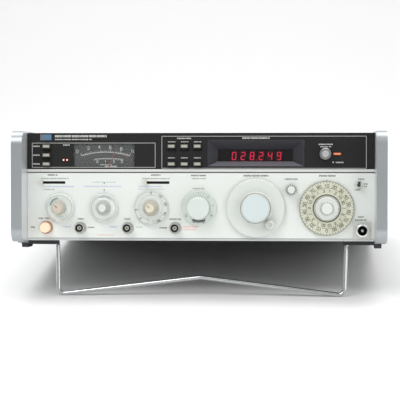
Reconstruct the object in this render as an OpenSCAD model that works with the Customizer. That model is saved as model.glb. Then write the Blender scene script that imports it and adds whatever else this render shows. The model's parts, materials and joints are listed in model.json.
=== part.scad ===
// Bench RF signal generator in a half-height rack cabinet, standing on its wire bail.
// Every piece is drawn square to the front panel: X runs right, Y runs into the case
// from the panel's face, Z runs up from the panel's middle. stand() leans it all back.

/* [Cabinet] */
// Width across both side frames
body_w = 425; // [423:0.5:427]
// Thickness of a side frame casting
frame_t = 12.5; // [12:0.1:13]
// Side frame above the panel's middle
frame_up = 63.6; // [63:0.1:65]
// Side frame below the panel's middle
frame_down = 65.3; // [65:0.1:66]
// Height of the front panel and of the case between its covers
panel_h = 123.8; // [123:0.1:124.4]
// Depth of the case from the panel's face to the rear panel's back
body_back = 428; // [420:1:436]
// How far the front handles stand out from the panel
handle_reach = 35; // [33:0.5:37]
// How much higher a handle ends below than its side frame
handle_rise = 2.4; // [2:0.1:2.8]
// Corner radius of a handle seen from the side
handle_r = 16; // [14:0.5:18]
// Thickness of the grip bar in front of the finger pocket
grip_t = 14; // [12:0.5:15]
// Height of the finger pocket
pocket_h = 92; // [84:1:96]
// Depth of the finger pocket from the outer face
pocket_d = 8.5; // [7:0.5:9]
// Sheet thickness of the covers
sheet_t = 1.6; // [1.2:0.1:2]
// Down-turned edge of a cover
cover_lip = 9; // [7:0.5:12]
// Thickness of a side cover
side_cover_t = 1.5; // [1.2:0.1:1.8]
// Depth of the ledge that holds a side cover
ledge_d = 3; // [2.5:0.1:3.5]

/* [Front panels] */
// Thickness of each front panel
panel_t = 2; // [1.8:0.1:2.2]
// Thickness of the cast plate behind the panels
plate_t = 2.5; // [2.3:0.1:2.8]
// Lower edge of the dark upper panel
upper_z = 20.2; // [20.1:0.1:20.4]
// Bottom of the bright trim strip between the panels
trim_z = 17.2; // [17:0.1:17.4]
// Upper edge of the pale lower panel
lower_top = 15.8; // [15.6:0.1:16]
// Lower edge of the pale lower panel
lower_bottom = -59.6; // [-60:0.1:-59.2]
// How far the trim strip stands out
trim_out = 1; // [0.6:0.1:1.4]

/* [Feet and bail] */
// Width of a foot
foot_w = 44; // [42:1:46]
// Outer end of a foot from the middle
foot_x = 208; // [207:0.1:209]
// Thickness of a foot's slab
slab_t = 4.8; // [4.6:0.1:5]
// Depth of a foot
foot_l = 34; // [32:1:38]
// Front edge of the front feet
foot_y = 8; // [6:1:10]
// Depth of a foot's outer pad below the case
pad_drop = 8.6; // [8:0.1:9]
// Radius of the bail wire
wire_r = 2.5; // [2.4:0.05:2.6]
// Bail pivot behind the panel's face
pivot_y = 24; // [22:1:26]
// Bail pivot below the case
pivot_drop = 3.2; // [3.1:0.1:3.4]
// Bail leg from the middle, at the pivot
leg_x = 167.8; // [167:0.1:169]
// Pivot to the bail's lowest point, along the wire's plane
bail_l = 59.6; // [56:0.2:62]
// Inward slant of a leg
leg_slant = 1.8; // [1:0.1:3]
// Rise of the crossbar towards its middle
bar_rise = 6.9; // [5:0.1:8]
// Forward lean of the open bail
bail_lean = 6; // [4:0.5:8]
// Bend radius at the bail's lower corners
bend_r = 7; // [6:0.5:9]
// Length of the wire inside each foot
pin_l = 22; // [18:1:26]
// Standoff length of the rear bumpers
bumper_l = 13; // [10:1:16]

/* [Meter] */
// Middle of the meter window
meter_x = -110.5; // [-111:0.1:-110]
// Middle height of the meter window
meter_z = 36; // [35.8:0.1:36.2]
// Width of the meter window
meter_w = 70.2; // [69:0.2:71]
// Height of the meter window
meter_h = 26.4; // [26:0.1:26.8]
// Height of the needle's pivot
needle_z = 7.8; // [7:0.1:8.5]
// Needle's length from its pivot
needle_l = 42; // [40:0.5:43]
// Lean of the needle at rest, clockwise from upright
needle_lean = 19.3; // [10:0.1:25]

/* [Push buttons] */
// Width of a button cap
cap_w = 9; // [8.6:0.1:9.2]
// Height of a button cap
cap_h = 4.6; // [4.2:0.1:4.8]
// How far a button stands out
cap_out = 4.5; // [4:0.1:5]
// Length of a button behind the panel
cap_in = 11; // [10:0.5:11.5]
// Middle of the meter button column
meter_button_x = -177.2; // [-177.5:0.1:-177]
// Height of the top meter button
meter_button_top = 46.6; // [46.4:0.1:46.8]
// Step between meter buttons
meter_button_step = 10.2; // [10:0.1:10.4]
// Middle of the first counter button
counter_x = -32.5; // [-33:0.1:-32]
// Step between counter buttons
counter_step = 14.9; // [14.5:0.1:15.2]
// Height of the upper counter row
counter_top = 46.6; // [46.4:0.1:46.8]
// Height of the lower counter row
counter_low = 26.2; // [26:0.1:26.4]

/* [Display] */
// Left edge of the display bezel
bezel_x0 = 9; // [8.6:0.1:9.4]
// Right edge of the display bezel
bezel_x1 = 119.4; // [119:0.1:120]
// Bottom of the display bezel
bezel_z0 = 23; // [22.8:0.1:23.2]
// Top of the display bezel
bezel_z1 = 53.6; // [53.2:0.1:54]
// Depth of the sloping bezel
bezel_d = 9.5; // [9:0.1:10]
// Rim width of the bezel
bezel_rim = 0.9; // [0.7:0.1:1.2]
// Middle of the first digit
digit_x = 38.9; // [38:0.1:39.5]
// Step between digits
digit_step = 10.35; // [10.2:0.05:10.5]
// Middle height of the digits
digit_z = 35.6; // [35:0.1:36]

/* [Knob places] */
// Height of the main row of knobs
row_z = -24.3; // [-24.6:0.1:-24]
// Amplitude modulation knob
am_x = -161.6; // [-162:0.1:-161]
// Audio frequency knob
af_x = -110.4; // [-111:0.1:-110]
// Frequency modulation knob
fm_x = -55.7; // [-56:0.1:-55]
// Range knob
range_x = -0.9; // [-1.2:0.1:-0.6]
// Tuning knob
tune_x = 64.4; // [64:0.1:64.8]
// Output level knob
output_x = 145.2; // [145:0.1:145.6]
// Fine tuning knob across
fine_x = 104.9; // [104.6:0.1:105.2]
// Fine tuning knob height
fine_z = -3.2; // [-3.6:0.1:-2.8]
// Time base knob across
base_x = 143.6; // [143:0.1:144]
// Time base knob height
base_z = 37.8; // [37.4:0.1:38.2]

/* [Knob sizes] */
// Outer radius of the amplitude skirt
am_r = 16.8; // [16:0.1:17.2]
// Outer radius of the audio dial
af_r = 16.6; // [16:0.1:17.2]
// Outer radius of the frequency modulation dial
fm_r = 19.6; // [19:0.1:20]
// Outer radius of the range dial
range_r = 20; // [19:0.1:20.4]
// Outer radius of the tuning disc
tune_r = 33.6; // [33:0.1:34]
// Outer radius of the output dial
output_r = 31.4; // [31:0.1:32]
// Gap between a dial and the panel
dial_gap = 1; // [0.6:0.1:1.4]
// Thickness of a dial
dial_t = 3; // [2.5:0.1:3.5]
// Radius of a control shaft
shaft_r = 3.15; // [3.1:0.05:3.2]
// Radius of a hollow outer shaft
tube_r = 4.7; // [4.6:0.05:4.8]
// Running clearance of a shaft
fit = 0.06; // [0.04:0.01:0.08]
// Spinner's distance from the tuning axis
spin_reach = 24.9; // [24:0.1:25.2]
// Spinner's direction, from the right towards the bottom
spin_angle = 49; // [40:1:55]
// Spinner's radius
spin_r = 6; // [5.6:0.1:6.2]

/* [Slide switches] */
// Left end of the amplitude slot
am_slot_x = -185; // [-185.4:0.1:-184.8]
// Left end of the frequency slot
fm_slot_x = -64.4; // [-64.6:0.1:-64]
// Height of both slots' middle
slot_z = 4.8; // [4.6:0.1:5]
// Length of a slot
slot_l = 29.4; // [29:0.1:29.6]
// Height of a slot
slot_h = 3; // [2.8:0.1:3.2]
// Width of a slider's finger piece
slider_w = 3.2; // [3:0.1:3.4]
// Height of a slider's finger piece
slider_h = 5.4; // [5:0.1:5.8]

/* [Line switch and connectors] */
// Line button across
line_x = -177.6; // [-178:0.1:-177]
// Line button height
line_z = -47; // [-47.2:0.1:-46.8]
// Radius of the line button
line_r = 5.8; // [5.6:0.1:6]
// How far the line button stands out
line_out = 13; // [12:0.5:14]
// First small coaxial jack across
bnc_x = -137.9; // [-138.2:0.1:-137.6]
// Step between small coaxial jacks
bnc_step = 54.9; // [54.6:0.1:55]
// Height of the small coaxial jacks
bnc_z = -47.4; // [-47.6:0.1:-47.2]
// Barrel radius of a small coaxial jack
bnc_r = 4.8; // [4.75:0.05:4.85]
// Barrel length of a small coaxial jack
bnc_l = 12; // [11:0.5:12.5]
// Output jack across
n_x = 185.5; // [185:0.1:186]
// Output jack height
n_z = -49.6; // [-49.8:0.1:-49.4]
// Thread radius of the output jack
n_r = 7.94; // [7.9:0.01:7.95]
// Output switch across
rf_x = 181.6; // [181:0.1:182.2]
// Output switch height
rf_z = 2.4; // [2:0.1:3]
// Half the throw of the output switch lever
rf_throw = 12; // [10:1:13]

/* [Inside and rear] */
// Fan middle across
fan_x = 110; // [100:1:120]
// Radius of the fan opening
fan_r = 42; // [40:0.5:43]
// Depth of the fan housing
fan_d = 25; // [24:0.5:26]
// Power inlet middle across
inlet_x = -160; // [-165:1:-150]
// Power inlet middle height
inlet_z = -28; // [-32:1:-24]
// First rear jack across
rear_bnc_x = -95; // [-100:1:-90]
// Step between rear jacks
rear_bnc_step = 26; // [24:1:28]
// Height of the rear jacks
rear_bnc_z = 28; // [24:1:32]
// Front face of the tuned cavity
cavity_y = 48; // [46:1:52]
// Length of the tuned cavity
cavity_l = 150; // [140:1:160]
// Bore radius of the tuned cavity
cavity_r = 21; // [20:0.5:22]
// Number of plug-in boards
board_count = 6; // [4:1:8]

/* [Hidden] */

$fn = 64;
cut = 0.05;                               // overshoot of a cutting solid past a face
in_x = body_w/2 - frame_t;                // inner face of a side frame
half_h = panel_h/2;
behind = panel_t + plate_t;               // depth of the panels and the cast plate
pivot_z = -half_h - pivot_drop;
pad_z = -half_h - pad_drop;

// The open bail's lowest centreline point, and the rear pads' lowest edge
bail_y = pivot_y - bail_l*sin(bail_lean);
bail_z = pivot_z - bail_l*cos(bail_lean);
span_y = body_back - bail_y;
span_z = pad_z - bail_z;
// The lean at which both touch one level surface
tilt = atan2(span_z, span_y) + asin(wire_r/norm([span_y, span_z]));
lift = body_back*sin(tilt) - pad_z*cos(tilt);
// The foremost and rearmost points once it leans back
bumper_z = 44;
handle_down = frame_down - handle_rise;    // lower end of a handle below the panel's middle
front_most = (handle_r - handle_reach)*cos(tilt) + (handle_r - handle_down)*sin(tilt) - handle_r;
bumper_r = 8;
rear_most = (body_back + bumper_l)*cos(tilt) + (bumper_z + bumper_r)*sin(tilt);
shift_y = -(front_most + rear_most)/2;

// Bail wire in its own plane: bend centres and tangent points
pin_bend_r = 4;
peak_bend_r = 20;
leg_top = [leg_x + pin_bend_r*(1 - cos(leg_slant)), pin_bend_r*(sin(leg_slant) - 1)];
leg_low_z = bend_r*(1 - sin(leg_slant)) - bail_l;
leg_run = (leg_top[1] - leg_low_z)/cos(leg_slant);
leg_low = [leg_top[0] - leg_run*sin(leg_slant), leg_low_z];
bend_c = [leg_low[0] - bend_r*cos(leg_slant), bend_r - bail_l];
bar_end = [bend_c[0] - bend_r*sin(bar_rise), bend_c[1] - bend_r*cos(bar_rise)];
peak_z = bar_end[1] + bar_end[0]*tan(bar_rise);

dial_out = dial_gap + dial_t;             // face of a dial in front of the panel
foot_in = foot_x - foot_w;                // inner end of a foot
panel_hole = tube_r + 0.6;                // panel hole round a hollow shaft
shaft_hole = shaft_r + 0.6;               // panel hole round a plain shaft
bush_r = 8;
bush_l = 9;
plunger_r = cavity_r - 0.4;
plunger_l = 30;
plunger_y = 80;
guide_gap = 0.35;                         // clearance of a button in its guide
dark = "#2d2d2c";
pale = "#e1e5e0";
cream = "#dcdcc6";
mint = "#d5e0d9";
alloy = "#b4b8ba";
steel = "#9a9c9e";
black = "#1c1d1f";

// ---------- placing and drawing helpers ----------

// Leans the whole instrument back and sets it on the ground, centred over the origin
module stand() {
    translate([0, shift_y, lift]) rotate([-tilt, 0, 0]) children();
}

// Turns a piece drawn along +Z to face forward at one point of the panel
module out(x, z) {
    translate([x, 0, z]) rotate([90, 0, 0]) children();
}

// Extrudes an outline in X and Z between two distances in front of the panel's face
module slab(h0, h1) {
    out(0, 0) translate([0, 0, h0]) linear_extrude(h1 - h0) children();
}

// Extrudes an outline in Y and Z from x0 to x1
module across(x0, x1) {
    translate([x0, 0, 0]) rotate([90, 0, 90]) linear_extrude(x1 - x0) children();
}

module box(x0, x1, y0, y1, z0, z1) {
    translate([x0, y0, z0]) cube([x1 - x0, y1 - y0, z1 - z0]);
}

module rect(x0, x1, z0, z1) {
    translate([x0, z0]) square([x1 - x0, z1 - z0]);
}

module disc(x, z, r) {
    translate([x, z]) circle(r);
}

module rod(h0, h1, r) {
    translate([0, 0, h0]) cylinder(h = h1 - h0, r = r);
}

// A turned piece from its half outline of radius and height pairs
module turned(outline) {
    rotate_extrude($fn = 96) polygon(outline);
}

// A rectangle with front corners of one radius and rear corners of another
module rounded_side(y0, y1, z0, z1, front_r, rear_r) {
    rect(y0 + front_r, y1 - rear_r, z0, z1);
    rect(y0, y0 + front_r + cut, z0 + front_r, z1 - front_r);
    rect(y1 - rear_r - cut, y1, z0 + rear_r, z1 - rear_r);
    for (z = [z0 + front_r, z1 - front_r]) disc(y0 + front_r, z, front_r);
    for (z = [z0 + rear_r, z1 - rear_r]) disc(y1 - rear_r, z, rear_r);
}

// A rectangle with rounded front corners only
module rounded_front(y0, y1, z0, z1, r) {
    rect(y0 + r, y1, z0, z1);
    rect(y0, y0 + r + cut, z0 + r, z1 - r);
    for (z = [z0 + r, z1 - r]) disc(y0 + r, z, r);
}

module both_sides() {
    children();
    mirror([1, 0, 0]) children();
}

// ---------- cabinet ----------

rail_h = 15;                              // height of a side frame's top and bottom rails
recess_y0 = 24;                           // front of the side cover's ledge
recess_y1 = 408;
ledge_w = 5;
web_t = 4;
rack_holes = [-42, 0, 42];                // heights of the flange screws on each side
rack_hole_y = 15;
rack_hole_r = 1.75;
pocket_r = 6;
frame_mid = (frame_up - frame_down)/2;
pocket_y0 = grip_t - handle_reach;
pocket_y1 = 4;

handle_back = 9;                          // where a handle casting meets its side frame

// Both castings are drawn for the right-hand side; the left ones are mirror images
module handle() {
    outer = body_w/2;
    difference() {
        across(in_x, outer)
            rounded_front(-handle_reach, handle_back, -handle_down, frame_up, handle_r);
        across(outer - pocket_d, outer + cut)
            rounded_side(pocket_y0, pocket_y1, frame_mid - pocket_h/2, frame_mid + pocket_h/2,
                pocket_r, pocket_r);
    }
}

module side_frame() {
    outer = body_w/2;
    difference() {
        across(in_x, outer) rect(handle_back, body_back, -frame_down, frame_up);
        across(outer - ledge_d, outer + cut)
            rect(recess_y0, recess_y1, rail_h - frame_down, frame_up - rail_h);
        across(in_x + web_t, outer + cut)
            rect(recess_y0 + ledge_w, recess_y1 - ledge_w, rail_h + ledge_w - frame_down,
                frame_up - rail_h - ledge_w);
        for (z = rack_holes)
            translate([in_x - cut, rack_hole_y, z]) rotate([0, 90, 0])
                cylinder(h = frame_t + 2*cut, r = rack_hole_r);
        for (z = rear_screw_z)
            translate([in_x + frame_t/2, body_back + cut, z]) rotate([90, 0, 0])
                cylinder(h = screw_l, r = screw_r + fit);
    }
}

module handle_left() {
    color(alloy) stand() mirror([1, 0, 0]) handle();
}

module handle_right() {
    color(alloy) stand() handle();
}

module side_frame_left() {
    color(alloy) stand() mirror([1, 0, 0]) side_frame();
}

module side_frame_right() {
    color(alloy) stand() side_frame();
}

vent_count = 18;
vent_pitch = 7;
vent_w = 3;
vent_h = 56;
vent_y = 262;

module side_covers() {
    outer = body_w/2 - ledge_d + side_cover_t;
    color("#8d9597") stand() both_sides() difference() {
        across(outer - side_cover_t, outer)
            rect(recess_y0 + 0.4, recess_y1 - 0.4, rail_h + 0.4 - frame_down,
                frame_up - rail_h - 0.4);
        for (i = [0 : vent_count - 1])
            across(outer - side_cover_t - cut, outer + cut)
                rect(vent_y + i*vent_pitch, vent_y + i*vent_pitch + vent_w,
                    frame_mid - vent_h/2, frame_mid + vent_h/2);
    }
}

cover_x = in_x - 0.3;
cover_y0 = behind + 0.1;                  // front edge of both covers, behind the cast plate
cover_back = 4;                           // how far both covers stop short of the back
lip_y0 = 30;
top_vents = 9;
top_vent_l = 36;

module cover_sheet() {
    box(-cover_x, cover_x, cover_y0, body_back - cover_back, half_h - sheet_t, half_h);
    both_sides()
        box(cover_x - sheet_t, cover_x, lip_y0, body_back - cover_back - 2, half_h - cover_lip,
            half_h - sheet_t + cut);
}

module top_cover() {
    color("#c3c7c3") stand() difference() {
        cover_sheet();
        for (x = [-150, 50], i = [0 : top_vents - 1])
            box(x, x + top_vent_l*2.5, body_back - 96 + i*9, body_back - 93 + i*9,
                half_h - 3, half_h + 1);
    }
}

boss_y0 = pivot_y - 6;
boss_y1 = pivot_y + 8;

module bottom_cover() {
    color("#c3c7c3") stand() difference() {
        mirror([0, 0, 1]) cover_sheet();
        both_sides() box(foot_in - 1, in_x - 4, boss_y0 - 0.5, boss_y1 + 0.5, -half_h - 1, 4 - half_h);
    }
}

rear_t = 2.5;
screw_r = 1.6;
screw_l = 9;
screw_head_r = 3.4;
screw_head_h = 2;
rear_screw_z = [-50, 0, 50];
rear_in = body_back - rear_t;

inlet_w = 27;
inlet_h = 19.5;

module rear_outline() {
    rect(-in_x + 0.3, in_x - 0.3, 0.3 - half_h + sheet_t, half_h - sheet_t - 0.3);
}

module rear_panel() {
    color("#b9bcb9") stand() translate([0, body_back, 0]) slab(0, rear_t) difference() {
        rear_outline();
        disc(fan_x, 0, fan_r);
        rect(inlet_x - inlet_w/2 - 0.2, inlet_x + inlet_w/2 + 0.2, inlet_z - inlet_h/2 - 0.2,
            inlet_z + inlet_h/2 + 0.2);
        for (i = [0 : 2]) disc(rear_bnc_x + i*rear_bnc_step, rear_bnc_z, bnc_r + 0.1);
        for (x = [-1, 1], z = [-38, 38]) disc(fan_x + x*38, z, screw_r + 0.1);
    }
}

// Screws: three into the back of each side frame, four through the fan's corners,
// four on each side cover
side_screw_y = [40, 392];

module screw() {
    rod(-screw_l + 1, cut, screw_r);
    turned([[0, 0], [screw_head_r, 0], [screw_head_r, 1.1], [screw_head_r - 0.9, screw_head_h],
        [0, screw_head_h]]);
}

module cover_screws() {
    color(steel) stand() {
        both_sides() for (z = rear_screw_z)
            translate([in_x + frame_t/2, body_back, z]) rotate([-90, 0, 0]) screw();
        for (x = [-1, 1], z = [-38, 38])
            translate([fan_x + x*38, body_back, z]) rotate([-90, 0, 0]) screw();
        both_sides() for (y = side_screw_y, z = [-34, 32])
            translate([body_w/2 - ledge_d + side_cover_t, y, z]) rotate([0, 90, 0])
                turned([[0, 0], [screw_head_r, 0], [screw_head_r, 0.6],
                    [screw_head_r - 0.7, 1.2], [0, 1.2]]);
    }
}

// ---------- front panels ----------

module meter_opening(grow) {
    rect(meter_x - meter_w/2 - grow, meter_x + meter_w/2 + grow,
        meter_z - meter_h/2 - grow, meter_z + meter_h/2 + grow);
}

function meter_button_z(i) = meter_button_top - (i - 1)*meter_button_step;
function counter_button_x(i) = counter_x + ((i - 1) % 3)*counter_step;
function counter_button_z(i) = i <= 3 ? counter_top : counter_low;

// The dark well that each button sits in
well_drop = 8.4;
module button_well(x, z, grow) {
    rect(x - cap_w/2 - 0.5 - grow, x + cap_w/2 + 0.5 + grow,
        z + cap_h/2 + 0.5 - well_drop, z + cap_h/2 + 0.5 + grow);
}

module button_wells(grow) {
    for (i = [1 : 3]) button_well(meter_button_x, meter_button_z(i), grow);
    for (i = [1 : 6]) button_well(counter_button_x(i), counter_button_z(i), grow);
}

lamp_x = [-157.4, -153.4];
lamp_z = 30.8;
lamp_r = 1.5;
bar_lamp = [152.6, 161.6, 36.4, 39.2];    // left, right, bottom and top of the bar lamp

module lamp_holes() {
    for (x = lamp_x) disc(x, lamp_z, lamp_r + 0.1);
    rect(bar_lamp[0] - 0.1, bar_lamp[1] + 0.1, bar_lamp[2] - 0.1, bar_lamp[3] + 0.1);
}

module upper_panel() {
    color(dark) stand() slab(-panel_t, 0) difference() {
        rect(-in_x + 0.2, in_x - 0.2, upper_z, half_h);
        meter_opening(0);
        button_wells(0);
        rect(bezel_x0 - 0.1, bezel_x1 + 0.1, bezel_z0 - 0.1, bezel_z1 + 0.1);
        lamp_holes();
        disc(base_x, base_z, 2.6);
    }
}

module control_holes() {
    for (x = [am_x, af_x, fm_x, output_x]) disc(x, row_z, panel_hole);
    for (x = [range_x, tune_x]) disc(x, row_z, shaft_hole);
    disc(fine_x, fine_z, shaft_hole);
    disc(line_x, line_z, line_r + 1.2);
    for (i = [0 : 2]) disc(bnc_x + i*bnc_step, bnc_z, bnc_r + 0.1);
    disc(n_x, n_z, n_r + 0.1);
    disc(rf_x, rf_z, 3.3);
    for (x = [am_slot_x, fm_slot_x]) rect(x, x + slot_l, slot_z - slot_h/2, slot_z + slot_h/2);
}

module lower_panel() {
    color(pale) stand() slab(-panel_t, 0) difference() {
        rect(-in_x + 0.2, in_x - 0.2, lower_bottom, lower_top);
        control_holes();
    }
}

module trim_strip() {
    color("#cfd1cf") stand()
        slab(-panel_t, trim_out) rect(-in_x + 0.2, in_x - 0.2, trim_z, upper_z);
}

// The cast plate that carries both panels, with a lip showing below the pale one
module front_frame() {
    color("#c6c9c8") stand() {
        difference() {
            slab(-behind, -panel_t) rect(-in_x + 0.2, in_x - 0.2, -half_h, half_h - sheet_t);
            slab(-behind - cut, cut - panel_t) {
                meter_opening(0.4);
                button_wells(0.3);
                rect(bezel_x0 - 0.1, bezel_x1 + 0.1, bezel_z0 - 0.1, bezel_z1 + 0.1);
                lamp_holes();
                disc(base_x, base_z, 2.6);
                control_holes();
            }
        }
        slab(-panel_t - cut, 0.4) rect(-in_x + 0.2, in_x - 0.2, -half_h, lower_bottom - 0.2);
    }
}

// ---------- feet and bail ----------

notch_w = 7.4;                            // slot that the bail's leg swings in
clip_r = wire_r + fit;

// Right-hand front foot: slab, outer pad and a boss that the wire snaps into
module front_foot() {
    top = -half_h;
    difference() {
        union() {
            box(foot_in, foot_x, foot_y, foot_y + foot_l, top - slab_t, top - cut);
            across(in_x + 0.6, foot_x) polygon([[foot_y, -frame_down - 0.1],
                [foot_y + foot_l, -frame_down - 0.1], [foot_y + foot_l - 3, pad_z],
                [foot_y + 3, pad_z]]);
            box(foot_in, in_x - 5, boss_y0, boss_y1, top - slab_t, top + 3.4);
        }
        box(in_x - 0.2, foot_x + 1, foot_y - 1, foot_y + foot_l + 1, -frame_down, top + 1);
        translate([leg_x - wire_r - 1.2, pivot_y, pivot_z]) rotate([0, 90, 0])
            cylinder(h = pin_l + 12, r = clip_r);
        box(leg_x - notch_w/2 - 0.6, leg_x + notch_w + 2.2, pivot_y - 12, foot_y + foot_l + 1,
            pad_z - 1, -half_h + 1);
        box(leg_x - notch_w/2 - 0.6, leg_x + notch_w + 2.2, pivot_y - 4.5, pivot_y + 4.5,
            pad_z - 1, -half_h + 2.4);
    }
}

module feet() {
    color(black) stand() {
        both_sides() {
            front_foot();
            box(foot_in, in_x, body_back - foot_l, body_back, -half_h - slab_t, -half_h);
            across(foot_in, foot_in + 9) rear_pad(-half_h - slab_t + cut);
            across(in_x + 0.6, foot_x) rear_pad(-frame_down - 0.1);
            box(in_x - cut, foot_x, body_back - foot_l, body_back, -half_h - slab_t,
                -frame_down - 0.1);
            for (z = [-1, 1])
                translate([in_x - 14, body_back, z*bumper_z]) rotate([-90, 0, 0])
                    turned([[0, 0], [bumper_r + 2, 0], [bumper_r, bumper_l - 2],
                        [bumper_r, bumper_l], [0, bumper_l]]);
        }
    }
}

module rear_pad(top) {
    polygon([[body_back - foot_l, top], [body_back, top], [body_back, pad_z],
        [body_back - foot_l + 4, pad_z]]);
}

// A bend is a little thinner than the straights, whose ends cap it
wire_seat = 0.3;
bend_thin = 0.1;
module wire_bend(centre, r, start, turn) {
    translate([centre[0], 0, centre[1]]) rotate([90, 0, 0]) rotate([0, 0, start])
        rotate_extrude(angle = turn) translate([r, 0]) circle(wire_r - bend_thin, $fn = 48);
}

// A straight of the wire from a point, along a direction given from straight down
module wire_run(from, slant, length) {
    translate([from[0], 0, from[1]]) rotate([0, slant, 0]) translate([0, 0, -length - wire_seat])
        cylinder(h = length + 2*wire_seat, r = wire_r, $fn = 48);
}

module tilt_bail() {
    color("#c9cbcc") stand() translate([0, pivot_y, pivot_z]) rotate([-bail_lean, 0, 0]) {
        both_sides() {
            translate([leg_x + pin_bend_r - wire_seat, 0, 0]) rotate([0, 90, 0])
                cylinder(h = pin_l, r = wire_r, $fn = 48);
            wire_bend([leg_x + pin_bend_r, -pin_bend_r], pin_bend_r, 90, 90 - leg_slant);
            wire_run(leg_top, leg_slant, leg_run);
            wire_bend(bend_c, bend_r, -90 - bar_rise, 90 + bar_rise - leg_slant);
            wire_run(bar_end, 90 + bar_rise,
                (bar_end[0] - peak_bend_r*sin(bar_rise))/cos(bar_rise));
        }
        wire_bend([0, peak_z - peak_bend_r/cos(bar_rise)], peak_bend_r, 90 - bar_rise,
            2*bar_rise);
    }
}

// ---------- meter ----------

case_back = 38;
scale_in = 6.4;                           // face of the scale plate behind the panel
needle_in = 5.1;
needle_t = 0.4;
hub_r = 2.4;
case_x = meter_w/2 + 4;
case_z0 = -1;
case_z1 = 54;
case_wall = 1.5;

module meter_case() {
    color(black) stand() {
        difference() {
            box(meter_x - case_x, meter_x + case_x, behind, case_back, case_z0, case_z1);
            box(meter_x - case_x + case_wall, meter_x + case_x - case_wall, behind - cut,
                case_back - case_wall, case_z0 + case_wall, case_z1 - case_wall);
        }
        // Magnet of the movement, with the bearing that the needle turns in
        out(meter_x, needle_z) difference() {
            rod(case_wall - case_back, -16, 7);
            rod(-28, -16 + cut, 1 + fit);
        }
    }
}

module meter_scale() {
    color("#555754") stand() slab(-scale_in - 0.8, -scale_in) difference() {
        rect(meter_x - case_x + case_wall, meter_x + case_x - case_wall,
            case_z0 + case_wall, case_z1 - case_wall);
        disc(meter_x, needle_z, 3);
    }
}

module meter_window() {
    color([0.8, 0.85, 0.85, 0.35]) stand() slab(-1.7, -0.5) meter_opening(-0.1);
}

module meter_needle() {
    color("#c03a36") stand() out(meter_x, needle_z) {
        rod(-26, -4.8, 1);
        rod(-needle_in - 0.9, -4.7, hub_r);
        rotate([0, 0, -needle_lean]) translate([0, 0, -needle_in - needle_t])
            linear_extrude(needle_t) polygon([[-0.9, 0], [0.9, 0], [0.25, needle_l],
                [-0.25, needle_l]]);
    }
}

// ---------- push buttons ----------

module button(x, z) {
    color("#a9aaa4") stand() slab(-cap_in, cap_out)
        rect(x - cap_w/2, x + cap_w/2, z - cap_h/2, z + cap_h/2);
}

module meter_button_1() { button(meter_button_x, meter_button_z(1)); }
module meter_button_2() { button(meter_button_x, meter_button_z(2)); }
module meter_button_3() { button(meter_button_x, meter_button_z(3)); }
module counter_button_1() { button(counter_button_x(1), counter_button_z(1)); }
module counter_button_2() { button(counter_button_x(2), counter_button_z(2)); }
module counter_button_3() { button(counter_button_x(3), counter_button_z(3)); }
module counter_button_4() { button(counter_button_x(4), counter_button_z(4)); }
module counter_button_5() { button(counter_button_x(5), counter_button_z(5)); }
module counter_button_6() { button(counter_button_x(6), counter_button_z(6)); }

// ---------- display ----------

glass = [20.2, 106.6, 29.2, 43.3];        // left, right, bottom and top of the filter
glass_t = 1.5;
board_in = bezel_d + glass_t + 3;
digit_w = 8;
digit_h = 12.4;

module display_bezel() {
    color("#30343a") stand() difference() {
        slab(-bezel_d, 0) rect(bezel_x0, bezel_x1, bezel_z0, bezel_z1);
        hull() {
            slab(0, cut) rect(bezel_x0 + bezel_rim, bezel_x1 - bezel_rim,
                bezel_z0 + bezel_rim, bezel_z1 - bezel_rim);
            slab(-bezel_d - cut, -bezel_d) rect(glass[0], glass[1], glass[2], glass[3]);
        }
    }
}

module display_window() {
    color([0.25, 0.03, 0.06, 0.6]) stand() slab(-bezel_d - glass_t, -bezel_d)
        rect(glass[0] - 3, glass[1] + 3, glass[2] - 3, glass[3] + 3);
}

module display_board() {
    color("#2f5a3c") stand() {
        slab(-board_in - 1.6, -board_in) rect(12, 116, 25, 52);
        for (i = [0 : 5])
            slab(-board_in, -bezel_d - glass_t - 0.2)
                rect(digit_x + i*digit_step - digit_w/2, digit_x + i*digit_step + digit_w/2,
                    digit_z - digit_h/2, digit_z + digit_h/2);
    }
}

module indicator_lamps() {
    color("#e8603c") stand() {
        for (x = lamp_x) out(x, lamp_z)
            turned([[0, -8], [lamp_r, -8], [lamp_r, 0.1], [lamp_r*0.72, 0.8], [0, 1.1]]);
        slab(-8, 0.5) rect(bar_lamp[0], bar_lamp[1], bar_lamp[2], bar_lamp[3]);
    }
}

// ---------- knobs ----------

module time_base_knob() {
    color("#8e9090") stand() out(base_x, base_z) {
        rod(-14, 1.2, 2);
        turned([[0, 1], [6.6, 1], [6.6, 9.4], [5.8, 10.4], [4.6, 10.4], [4, 9.8], [0, 9.8]]);
    }
}

// A slider's finger piece and the stem that passes through its slot
module slider(slot_x) {
    x = slot_x + slider_w/2 + 0.2;
    color("#c9c9bd") stand() {
        slab(0.4, 4.4) rect(x - slider_w/2, x + slider_w/2, slot_z - slider_h/2,
            slot_z + slider_h/2);
        slab(-11, 0.5) rect(x - 1.1, x + 1.1, slot_z - 1.1, slot_z + 1.1);
    }
}

module am_slider() { slider(am_slot_x); }
module fm_slider() { slider(fm_slot_x); }

// Hollow shaft of an outer knob
module hollow_shaft(back) {
    difference() {
        rod(-back, dial_gap + 0.5, tube_r);
        rod(-back - cut, dial_gap + 1, shaft_r + fit);
    }
}

am_step = 6;                              // height of the amplitude skirt
module am_outer_knob() {
    color(mint) stand() out(am_x, row_z) {
        hollow_shaft(16);
        turned([[shaft_r + fit, dial_gap], [am_r - 0.6, dial_gap], [am_r, dial_gap + 0.8],
            [am_r - 1.2, am_step - 1.2], [am_r - 2.2, am_step], [shaft_r + fit, am_step]]);
        translate([-4.3, 1.2 - am_r, am_step - 1]) cube([8.6, 5, 1.9]);
    }
}

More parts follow.
